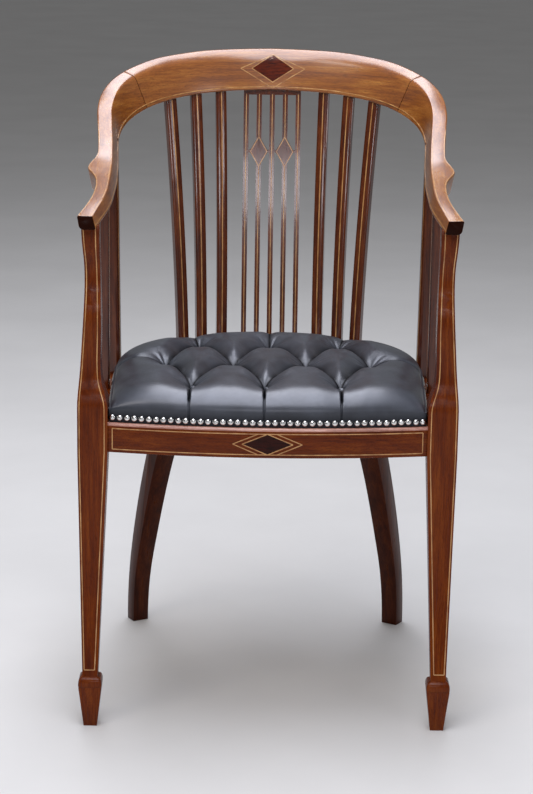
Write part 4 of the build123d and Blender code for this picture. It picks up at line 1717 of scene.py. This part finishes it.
@dataclass(frozen=True)
class Pleat:
    """Fold of the cover along a bowed line, steep on its front side and easy on its back side."""

    start: Pair
    end: Pair
    depths: Triple
    front_wide: Pair
    back_wide: Pair
    bow: float = 0.0
    swing: float = 0.0
    swell: float = 1.0

    def locate(self, points: Array) -> tuple[Array, Array, Array]:
        """Where points lie by the fold line.

        Args:
            points: Plan points.

        Returns:
            Share along the line, signed distance to its side and distance from it.
        """
        a, run = np.array(self.start), np.array(self.end) - np.array(self.start)
        length = float(np.linalg.norm(run))
        across = np.array([-run[1], run[0]]) / length
        across = across if across[1] > 0 else -across
        raw = ((points - a) @ run) / length**2
        t = np.clip(raw, 0, 1)
        line = self.bow * 4 * t * (1 - t) - self.swing * np.sin(2 * math.pi * t)
        aside = (points - a) @ across - line
        return t, aside, np.hypot(aside, (raw - t) * length)

    def draw(self, points: Array) -> Array:
        """How far the fold draws the cover in.

        Args:
            points: Plan points.

        Returns:
            Depth at each point.
        """
        t, aside, gap = self.locate(points)
        first, middle, last = self.depths
        ends = np.where(t < 0.5, first, last)
        depth = ends + (middle - ends) * (4 * t * (1 - t)) ** self.swell
        sides = (self.front_wide, self.back_wide)
        front, back = (end + (start - end) * (1 - t) ** 2 for start, end in sides)
        return depth * (1 - np.clip(gap / np.where(aside < 0, front, back), 0, 1)) ** 2


@dataclass
class ButtonedSeat(Maker):
    """Leather cover drawn down by ten buttons, with pleats between them.

    Rim and band give heights with insets from the edge. Rows give the depth of a row of buttons
    behind the front line with their sideways places. Pairs of widths are at the start and the end
    of a fold. The other tables go by height.
    """

    ledge: float = 5.0
    front_half: float = 209.5
    side_inset: float = 10.0
    side_overlap: float = 1.0
    centre: Pair = (0.0, -30.0)
    rim: Table = ((446.0, 4.0), (429.6, 4.0), (428.6, 3.0))
    band: Table = (
        (428.6, 0.3), (431.0, 0.4), (434.5, 0.9), (438.0, 0.5), (441.5, 0.1), (446.5, 0.0),
    )
    rise: float = 31.5
    front_runs: Pair = (42.0, 110.0)
    front_share: float = 0.8
    side_run: float = 64.0
    around: int = 1400
    rings: int = 160
    ring_power: float = 1.6
    front_samples: int = 500
    edge_samples: Counts = (400, 300)
    batch: int = 4000
    crowd_gain: float = 5.0
    crowd_wide: float = 7.0
    crowd_before_y: float = -150.0
    front_row: tuple[float, tuple[float, ...]] = (83.0, (-104.0, -5.0, 97.0))
    middle_row: tuple[float, tuple[float, ...]] = (204.0, (-143.0, -49.0, 52.0, 141.0))
    back_row: tuple[float, tuple[float, ...]] = (315.0, (-101.0, 1.0, 101.0))
    tuft_depth: float = 22.0
    tuft_wide: float = 48.0
    tuft_stretch: float = 0.46
    pleat_depth: float = 16.0
    pleat_end: float = 1.0
    bow: float = 4.5
    swing: float = 3.5
    swell: float = 2.0
    steep_wide: float = 21.0
    easy_wide: float = 27.0
    edge_depth: float = 6.0
    back_edge_y: float = 172.0
    back_fan: float = 1.2
    back_start: float = 0.6
    back_wide: Pair = (26.0, 12.0)
    side_edge_x: float = 218.0
    side_slip: float = 4.0
    side_start: float = 0.7
    side_wide: Pair = (30.0, 14.0)
    front_stop: float = 1.0
    front_depths: Pair = (4.5, 1.8)
    front_wide: Pair = (26.0, 3.0)
    slit_depth: float = 1.6
    slit_wide: float = 1.2
    slit_reach: float = 40.0
    slit_show: Table = ((434, 0), (437, 1), (468, 1), (474, 0))
    # Painted shade: width in folds, width and share behind bowed folds, width in pits, and by
    # height along the band
    fold_wide: float = 2.2
    shade_wide: float = 5.0
    shade_share: float = 0.75
    pit_wide: float = 7.5
    band_shade: Table = ((434, 0.75), (440, 0.6), (452, 0.0))
    held: Table = ((433, 10), (439, 1.2), (446.5, 0.9), (455.5, 0))
    pull: float = 2.5
    mingle: float = 2.4
    gather_tall: float = 0.6
    gather_from: float = 15.0
    gather_wide: float = 11.0
    gather_fade: float = 7.0
    gather_turns: Counts = (5, 17)
    gather_waves: int = 5
    gather_phase: float = 6.28
    sharp: float = 60.0
    seed: int = 11

    @property
    def band_top(self) -> float:
        """Height where the nailed band ends and the stuffed roll begins."""
        return self.band[-1][0]

    def rest(self, samples: int) -> Array:
        """Edge of the cover behind its front.

        Args:
            samples: Number of points.

        Returns:
            Plan points, from the right side round the back to the left side.
        """
        line = LAYOUT.seat_line
        place, out = line.along(np.linspace(line.curved, -line.curved, samples))
        return place - out * self.side_inset

    def outline(self) -> Array:
        """Edge of the cover in plan, with points crowded where the front pleats end.

        Returns:
            Plan points, going round once.
        """
        bow = LAYOUT.bow_radius - self.ledge
        x = np.linspace(-self.front_half, self.front_half, self.front_samples)
        front = np.column_stack([x, LAYOUT.bow_centre_y - np.sqrt(bow**2 - x**2)])
        loop = np.concatenate([front, self.rest(self.edge_samples[0]), front[:1]])
        middle = (loop[1:] + loop[:-1]) / 2
        before = middle[:, 1] < self.crowd_before_y
        crowd = np.ones(len(middle))
        for place in self.front_row[1]:
            crowd += self.crowd_gain * bell(middle[:, 0] - place, self.crowd_wide) * before
        steps = np.linalg.norm(np.diff(loop, axis=0), axis=1) * crowd
        length = np.concatenate([[0], np.cumsum(steps)])
        stops = np.linspace(0, length[-1], self.around, endpoint=False)
        return np.column_stack([np.interp(stops, length, loop[:, k]) for k in (0, 1)])

    def crown(self, points: Array) -> Array:
        """Height of the stuffed cover before it is drawn down: a roll at the front and all round.

        Args:
            points: Plan points.

        Returns:
            Height of the surface.
        """
        x, y = points.T
        front = LAYOUT.bow_radius - self.ledge - np.hypot(x, y - LAYOUT.bow_centre_y)
        line = LAYOUT.seat_line
        rest = self.rest(self.edge_samples[1])
        lean = (line.half - self.side_inset - self.front_half) / (line.side_y - LAYOUT.front_y)
        gaps = self.front_half + lean * (y - LAYOUT.front_y) - np.abs(x)
        behind = y > line.side_y - self.side_overlap
        for start in range(0, len(points), self.batch):
            part = slice(start, start + self.batch)
            near = np.linalg.norm(points[part, None] - rest[None], axis=2).min(axis=1)
            gaps[part] = np.where(behind[part], near, np.minimum(gaps[part], near))
        fast, slow = (1 - quarter(front / run) for run in self.front_runs)
        roll = fast * self.front_share + slow * (1 - self.front_share)
        side = 1 - quarter((gaps - self.pull) / self.side_run)
        return self.band_top + self.rise * roll * side

    def tufts(self) -> list[list[Pair]]:
        """Button places in plan, by row from the front."""
        rows = (self.front_row, self.middle_row, self.back_row)
        return [[(x, LAYOUT.front_y + depth) for x in places] for depth, places in rows]

    def offsets(self, points: Array) -> list[Array]:
        """Plan offsets of points from each button.

        Args:
            points: Plan points.

        Returns:
            One array for each button.
        """
        return [points - np.array(spot) for row in self.tufts() for spot in row]

    def pleats(self) -> list[Pleat]:
        """All folds: bowed ones between buttons, and short straight ones out to the edge.

        Returns:
            The folds.
        """
        front, middle, back = self.tufts()
        sag = self.pleat_end
        depths = (sag, self.pleat_depth, sag)
        widths = ((self.steep_wide,) * 2, (self.easy_wide,) * 2)
        folds = []
        for k in range(3):
            for row, swing in ((front, self.swing), (back, -self.swing)):
                for other in middle[k : k + 2]:
                    folds.append(Pleat(row[k], other, depths, *widths, self.bow, swing, self.swell))
        ends = []
        for x, y in back:
            edge = (x * self.back_fan, self.back_edge_y)
            ends.append(((x, y), edge, sag * self.back_start, self.back_wide))
        for x, y in (middle[0], middle[3]):
            edge = (math.copysign(self.side_edge_x, x), y + self.side_slip)
            ends.append(((x, y), edge, sag * self.side_start, self.side_wide))
        for spot, edge, start, wide in ends:
            depths = (start, (start + self.edge_depth) / 2, self.edge_depth)
            folds.append(Pleat(spot, edge, depths, wide, wide))
        for x, y in front:
            edge, wide = (x, LAYOUT.front_y + self.front_stop), self.front_wide
            folds.append(Pleat((x, y), edge, (sag, *self.front_depths), wide, wide))
        return folds

    def crease_shade(self, points: Array) -> Array:
        """Painted shade at each point: in the bottom of each fold, over the back side of each bowed
        fold and in each button pit.

        Args:
            points: Plan points.

        Returns:
            Nothing on open leather, one for full painted shade in the bottom of a fold.
        """
        total = np.zeros(len(points))
        for fold in self.pleats():
            _, aside, gap = fold.locate(points)
            total = np.maximum(total, bell(gap, self.fold_wide))
            # Painted shade also spreads over the back side of each bowed fold
            if fold.bow:
                behind = self.shade_share * bell(gap, self.shade_wide) * (aside > 0)
                total = np.maximum(total, behind)
        for offset in self.offsets(points):
            total = np.maximum(total, bell(np.linalg.norm(offset, axis=1), self.pit_wide))
        return total

    def slits(self, points: Array) -> Array:
        """Fine dark slit where each front pleat folds under, down to the nails.

        Args:
            points: Points in space, in millimetres.

        Returns:
            Depth at each point.
        """
        x, y, z = points.T
        total = sum(bell(x - place, self.slit_wide) for place in self.front_row[1])
        near = y < LAYOUT.front_y + self.slit_reach
        return self.slit_depth * total * straight(self.slit_show, z) * near

    def hollow(self, points: Array) -> Array:
        """How far buttons and pleats draw the cover in.

        Args:
            points: Plan points.

        Returns:
            Depth at each point.
        """
        total = sum(fold.draw(points) ** self.mingle for fold in self.pleats())
        total = total ** (1 / self.mingle)
        for x, y in (offset.T for offset in self.offsets(points)):
            # A pit runs out further to the front, where the pillow before it slopes back
            gap = np.hypot(x, np.where(y < 0, self.tuft_stretch, 1.0) * y)
            total += self.tuft_depth * (1 - np.clip(gap / self.tuft_wide, 0, 1)) ** 2
        return total

    def wrinkles(self, points: Array) -> Array:
        """Small gathers that run out from each button.

        Args:
            points: Plan points.

        Returns:
            Height to add at each point.
        """
        rng = np.random.default_rng(self.seed)
        total = np.zeros(len(points))
        for offset in self.offsets(points):
            gap, angle = np.linalg.norm(offset, axis=1), np.arctan2(offset[:, 1], offset[:, 0])
            wave = np.zeros(len(points))
            for k in rng.integers(*self.gather_turns, size=self.gather_waves):
                phase = rng.uniform(0, self.gather_phase)
                wave += math.sqrt(1 / k) * np.sin(k * angle + phase)
            total += self.gather_tall * wave * bell(gap - self.gather_from, self.gather_wide)
        return total

    def stuffed(self) -> Array:
        """The cover before it is drawn down, as rings from the hidden rim to the middle.

        Returns:
            Points by ring and by place in the ring.
        """
        outline = self.outline()
        side = unit(np.roll(outline, -1, axis=0) - np.roll(outline, 1, axis=0))
        out = np.column_stack([side[:, 1], -side[:, 0]])
        rings = [raised(outline - out * inset, z) for z, inset in (*self.rim, *self.band)]
        for t in np.linspace(0, 1, self.rings)[1:-1] ** self.ring_power:
            spots = outline + (np.array(self.centre) - outline) * t
            rings.append(np.column_stack([spots, self.crown(spots)]))
        return np.array(rings)

    def build(self) -> None:
        """Makes the cover."""
        grid = self.stuffed()
        round_step = np.roll(grid, -1, axis=1) - np.roll(grid, 1, axis=1)
        normal = unit(np.cross(round_step, np.gradient(grid, axis=0))).reshape(-1, 3)
        surface = grid.reshape(-1, 3)
        flat, lift = surface[:, :2], surface[:, 2]
        # Close to the nails the cover is held out by the stuffing, so folds stay shallow there
        hollow = self.hollow(flat)
        hollow = hollow / (1 + hollow * straight(self.held, lift))
        fade = np.clip((lift - self.band_top) / self.gather_fade, 0, 1)
        depth = hollow + self.slits(surface) - self.wrinkles(flat) * fade
        depth[: len(self.rim) * self.around] = 0.0
        surface = surface - normal * depth[:, None]
        top = surface[-self.around :].mean(axis=0)
        floor = [*self.centre, self.rim[0][0]]
        faces = ring_faces(len(grid), self.around, closed=False)
        last, count = len(surface) - self.around, len(surface)
        for k in range(self.around):
            n = (k + 1) % self.around
            faces += [(last + k, last + n, count), (n, k, count + 1)]
        surface = np.concatenate([surface, [top, floor]])
        piece = mesh_object("leather_seat_cover", surface, faces, self.sharp)
        # Painted shade in folds, pits and along the band near the nails, stored for the leather
        dark = np.maximum(self.crease_shade(surface[:, :2]), straight(self.band_shade, surface[:, 2]))
        layer = piece.data.attributes.new("fold", "FLOAT", "POINT")
        layer.data.foreach_set("value", dark.astype(np.float32))
        self.palette.dress(piece, Finish.LEATHER, "leather_cover")


NAIL: Table = (
    (4.2, 0.0), (4.2, 0.5), (3.9, 1.3), (3.3, 2.1), (2.3, 2.75), (1.1, 3.1), (0.25, 3.2),
)
BUTTON: Table = ((6.4, -4.0), (6.6, -1.4), (6.1, 0.0), (4.8, 1.2), (2.8, 1.9), (0.4, 2.2))


@dataclass
class Studs(Maker):
    """Round heads repeated at the places of a CAD node's solids by a Geometry Nodes tree.

    The profile gives radii with heights, in millimetres.
    """

    name: str
    node: str
    seed: int
    finish: Finish = Finish.NICKEL
    profile: Table = NAIL
    tilt: float = 0.1
    jitter: float = 0.35
    around: int = 20
    sharp: float = 50.0
    upward: float = 0.01
    inputs: tuple[tuple[str, str], ...] = (
        ("Points", "Geometry"), ("Head", "Object"), ("Tilt", "Float"), ("Jitter", "Float"),
        ("Seed", "Int"), ("Material", "Material"),
    )

    def islands(self) -> list[Array]:
        """Points of each solid in the node.

        Returns:
            One array for each solid, in metres.
        """
        work = bmesh.new()
        work.from_mesh(self.nodes[self.node].data)
        bmesh.ops.remove_doubles(work, verts=work.verts, dist=WELD)
        work.verts.ensure_lookup_table()
        seen: set[int] = set()
        found = []
        for start in work.verts:
            if start.index in seen:
                continue
            stack, island = [start], []
            seen.add(start.index)
            while stack:
                here = stack.pop()
                island.append(here.co[:])
                for edge in here.link_edges:
                    other = edge.other_vert(here)
                    if other.index not in seen:
                        seen.add(other.index)
                        stack.append(other)
            found.append(np.array(island))
        work.free()
        return found

    def places(self) -> tuple[Array, Array]:
        """Foot and outward direction of each solid in the node.

        Returns:
            Feet in metres, and directions.
        """
        spots, ways = [], []
        for points in self.islands():
            middle = points.mean(axis=0)
            way = np.linalg.svd(points - middle)[2][2]
            outward = middle - np.array([0.0, 0.0, middle[2] - self.upward])
            way = -way if way @ outward < 0 else way
            spots.append(middle + way * ((points - middle) @ way).min())
            ways.append(way)
        return np.array(spots), np.array(ways)

    def head(self) -> Object:
        """One head, turned from its profile.

        Returns:
            An object for the tree to repeat.
        """
        angle = np.linspace(0, 2 * math.pi, self.around, endpoint=False)
        circle = np.column_stack([np.cos(angle), np.sin(angle)])
        rings = [raised(radius * circle, rise) for radius, rise in self.profile]
        return tube(self.name + "_head", rings, self.sharp)

    def tree(self) -> bpy.types.NodeTree:
        """Tree that puts a head on every point, turned to its stored direction.

        Returns:
            The tree, with inputs Points, Head, Tilt, Jitter, Seed and Material.
        """
        tree = bpy.data.node_groups.new(self.name + "_repeat", "GeometryNodeTree")
        for name, kind in self.inputs:
            tree.interface.new_socket(name, in_out="INPUT", socket_type="NodeSocket" + kind)
        tree.interface.new_socket("Heads", in_out="OUTPUT", socket_type="NodeSocketGeometry")
        add = NodeKit(tree).node
        source = add("NodeGroupInput").outputs
        cube = {0: (-1, -1, -1), 1: (1, 1, 1), "Seed": source["Seed"]}
        shake = add("FunctionNodeRandomValue", cube, data_type="FLOAT_VECTOR").outputs[0]
        nudge, lean = (
            add("ShaderNodeVectorMath", {0: shake, "Scale": source[by]}, operation="SCALE")
            for by in ("Jitter", "Tilt")
        )
        shift = {"Geometry": source["Points"], "Offset": nudge.outputs[0]}
        moved = add("GeometryNodeSetPosition", shift)
        out = add("GeometryNodeInputNamedAttribute", {"Name": "out"}, data_type="FLOAT_VECTOR")
        ways = {0: out.outputs[0], 1: lean.outputs[0]}
        aim = add("ShaderNodeVectorMath", ways, operation="ADD")
        turn = add("FunctionNodeAlignRotationToVector", {"Vector": aim.outputs[0]}, axis="Z")
        head = add("GeometryNodeObjectInfo", {"Object": source["Head"]})
        rows = {"Points": moved.outputs[0], "Rotation": turn.outputs[0]}
        rows["Instance"] = head.outputs["Geometry"]
        heads = add("GeometryNodeInstanceOnPoints", rows)
        solid = add("GeometryNodeRealizeInstances", {"Geometry": heads.outputs[0]})
        dressed = {"Geometry": solid.outputs[0], "Material": source["Material"]}
        done = add("GeometryNodeSetMaterial", dressed)
        add("NodeGroupOutput", {"Heads": done.outputs[0]})
        return tree

    def build(self) -> None:
        """Makes the row of heads as a plain mesh."""
        spots, ways = self.places()
        mesh = bpy.data.meshes.new(self.name)
        mesh.from_pydata(spots.tolist(), [], [])
        layer = mesh.attributes.new("out", "FLOAT_VECTOR", "POINT")
        layer.data.foreach_set("vector", ways.astype(np.float32).ravel())
        piece = add_object(self.name, mesh)
        head, tree = self.head(), self.tree()
        repeat = piece.modifiers.new("repeat", "NODES")
        repeat.node_group = tree
        values = {
            "Head": head,
            "Tilt": self.tilt,
            "Jitter": self.jitter * MM,
            "Seed": self.seed,
            "Material": self.palette.materials[self.finish],
        }
        for item in tree.interface.items_tree:
            if item.in_out == "INPUT" and item.name in values:
                repeat[item.identifier] = values[item.name]
        settle(piece)
        shade(piece.data, self.sharp)
        bpy.data.objects.remove(head)
        self.palette.dress(piece, self.finish, self.node)


@dataclass(frozen=True)
class Softbox:
    """One soft rectangular light: place, aim and size in metres, power in watts."""

    name: str
    place: Triple
    aim: Triple
    size: Pair
    watts: float
    tint: str

    def hang(self) -> None:
        """Hangs the light, out of the camera's sight."""
        data = bpy.data.lights.new(self.name, "AREA")
        data.shape = "RECTANGLE"
        data.size, data.size_y = self.size
        data.energy = self.watts
        data.color = linear(self.tint)[:3]
        light = add_object(self.name, data)
        light.location = self.place
        x, y, z = np.array(self.aim, float) - np.array(self.place, float)
        light.rotation_euler = (math.atan2(math.hypot(x, y), -z), 0, math.atan2(-x, y))
        light.visible_camera = False


@dataclass
class Studio:
    """Pale floor, soft light and the camera at the photograph's place."""

    floor_half: float = 30.0
    floor_tones: tuple[tuple[float, str], ...] = ((0.2, "#d9d8d6"), (0.8, "#e3e2e0"))
    floor_rough: float = 0.85
    sky: str = "#f2f2f4"
    sky_strength: float = 0.2
    camera_place: Triple = (0.0, -3.232, 1.221)
    camera_down: float = 14.11
    camera_yaw: float = 0.04
    camera_roll: float = 0.82
    lens: float = 106.87
    sensor: float = 36.0
    far: float = 200.0
    lamps: tuple[Softbox, ...] = (
        Softbox(
            "overhead_softbox", (-0.1, -0.75, 2.7), (-0.1, -0.75, 0), (1.3, 3.7), 84, "#f4f6ff"
        ),
        Softbox("rear_softbox", (-0.1, 1.6, 2.7), (-0.1, 1.2, 0), (1.3, 0.9), 19, "#f4f6ff"),
        Softbox("left_softbox", (-1.8, -2.2, 3.1), (0, 0, 0.5), (1.2, 1.0), 16, "#fff6ee"),
        Softbox("front_softbox", (0, -3.6, 1.2), (0, 0.1, 0.66), (0.8, 0.36), 8.5, "#f8f8ff"),
        Softbox("right_softbox", (2.1, -2.6, 1.25), (0, 0.1, 0.66), (0.8, 0.4), 7, "#f8f8ff"),
    )

    def camera(self) -> None:
        """Puts the camera where the photograph was taken."""
        data = bpy.data.cameras.new("photo_camera")
        data.lens = self.lens
        data.sensor_width = self.sensor
        data.clip_end = self.far
        camera = add_object("photo_camera", data)
        camera.location = self.camera_place
        down, yaw, roll = (
            math.radians(v) for v in (90 - self.camera_down, self.camera_yaw, self.camera_roll)
        )
        level, roll_turn = Euler((down, 0, yaw)).to_matrix(), Euler((0, 0, roll)).to_matrix()
        camera.rotation_euler = (level @ roll_turn).to_euler()
        bpy.context.scene.camera = camera

    def floor(self) -> None:
        """Pale floor, finely mottled so that it isn't one flat colour."""
        half = self.floor_half / MM
        square = np.array([(-1, -1, 0), (1, -1, 0), (1, 1, 0), (-1, 1, 0)], float) * half
        ground = mesh_object("studio_floor", square, [(0, 1, 2, 3)])
        g = Graph("Pale studio floor")
        tone = g.noise(g.place(), (3.0, 3.0, 3.0), 4.0)
        colour = g.ramp(tone, self.floor_tones)
        g.feed(g.shader, {"Base Color": colour, "Roughness": self.floor_rough})
        ground.data.materials.append(g.material)

    def world(self) -> None:
        """Even pale surround."""
        world = bpy.data.worlds.new("studio_world")
        bpy.context.scene.world = world
        world.use_nodes = True
        sky = world.node_tree.nodes["Background"]
        sky.inputs["Color"].default_value = linear(self.sky)
        sky.inputs["Strength"].default_value = self.sky_strength

    def build(self) -> None:
        """Makes the whole studio."""
        bpy.context.scene.view_settings.view_transform = "Standard"
        self.world()
        self.floor()
        for lamp in self.lamps:
            lamp.hang()
        self.camera()


def main() -> None:
    """Builds the chair and the studio."""
    logging.basicConfig(level=logging.INFO, format="%(message)s")
    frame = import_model()
    nodes = frame["nodes"]
    palette = Palette()
    inner = {
        Finish.BEECH: tuple(n for n in nodes if "block" in n and "screw" not in n or "tongue" in n),
        Finish.STEEL: ("corner_block_screws",),
        Finish.WEBBING: ("webbing",),
        Finish.HESSIAN: ("hessian",),
        Finish.HAIR: ("hair_pad",),
    }
    for finish, names in inner.items():
        for name in names:
            palette.paint(nodes[name], finish)
    for maker in (TopRail, FrontRail, FrameTimber, SpadeCollars, FrameStrings, ButtonedSeat):
        maker(palette, nodes).build()
    Studs(palette, nodes, "front_nail_heads", "front_nails", 5).build()
    Studs(palette, nodes, "side_nail_heads", "side_nails", 6).build()
    buttons = ("leather_buttons", "tuft_buttons", 7, Finish.LEATHER, BUTTON)
    Studs(palette, nodes, *buttons, tilt=0.06, jitter=0.0).build()
    Studio().build()


if __name__ == "__main__":
    main()
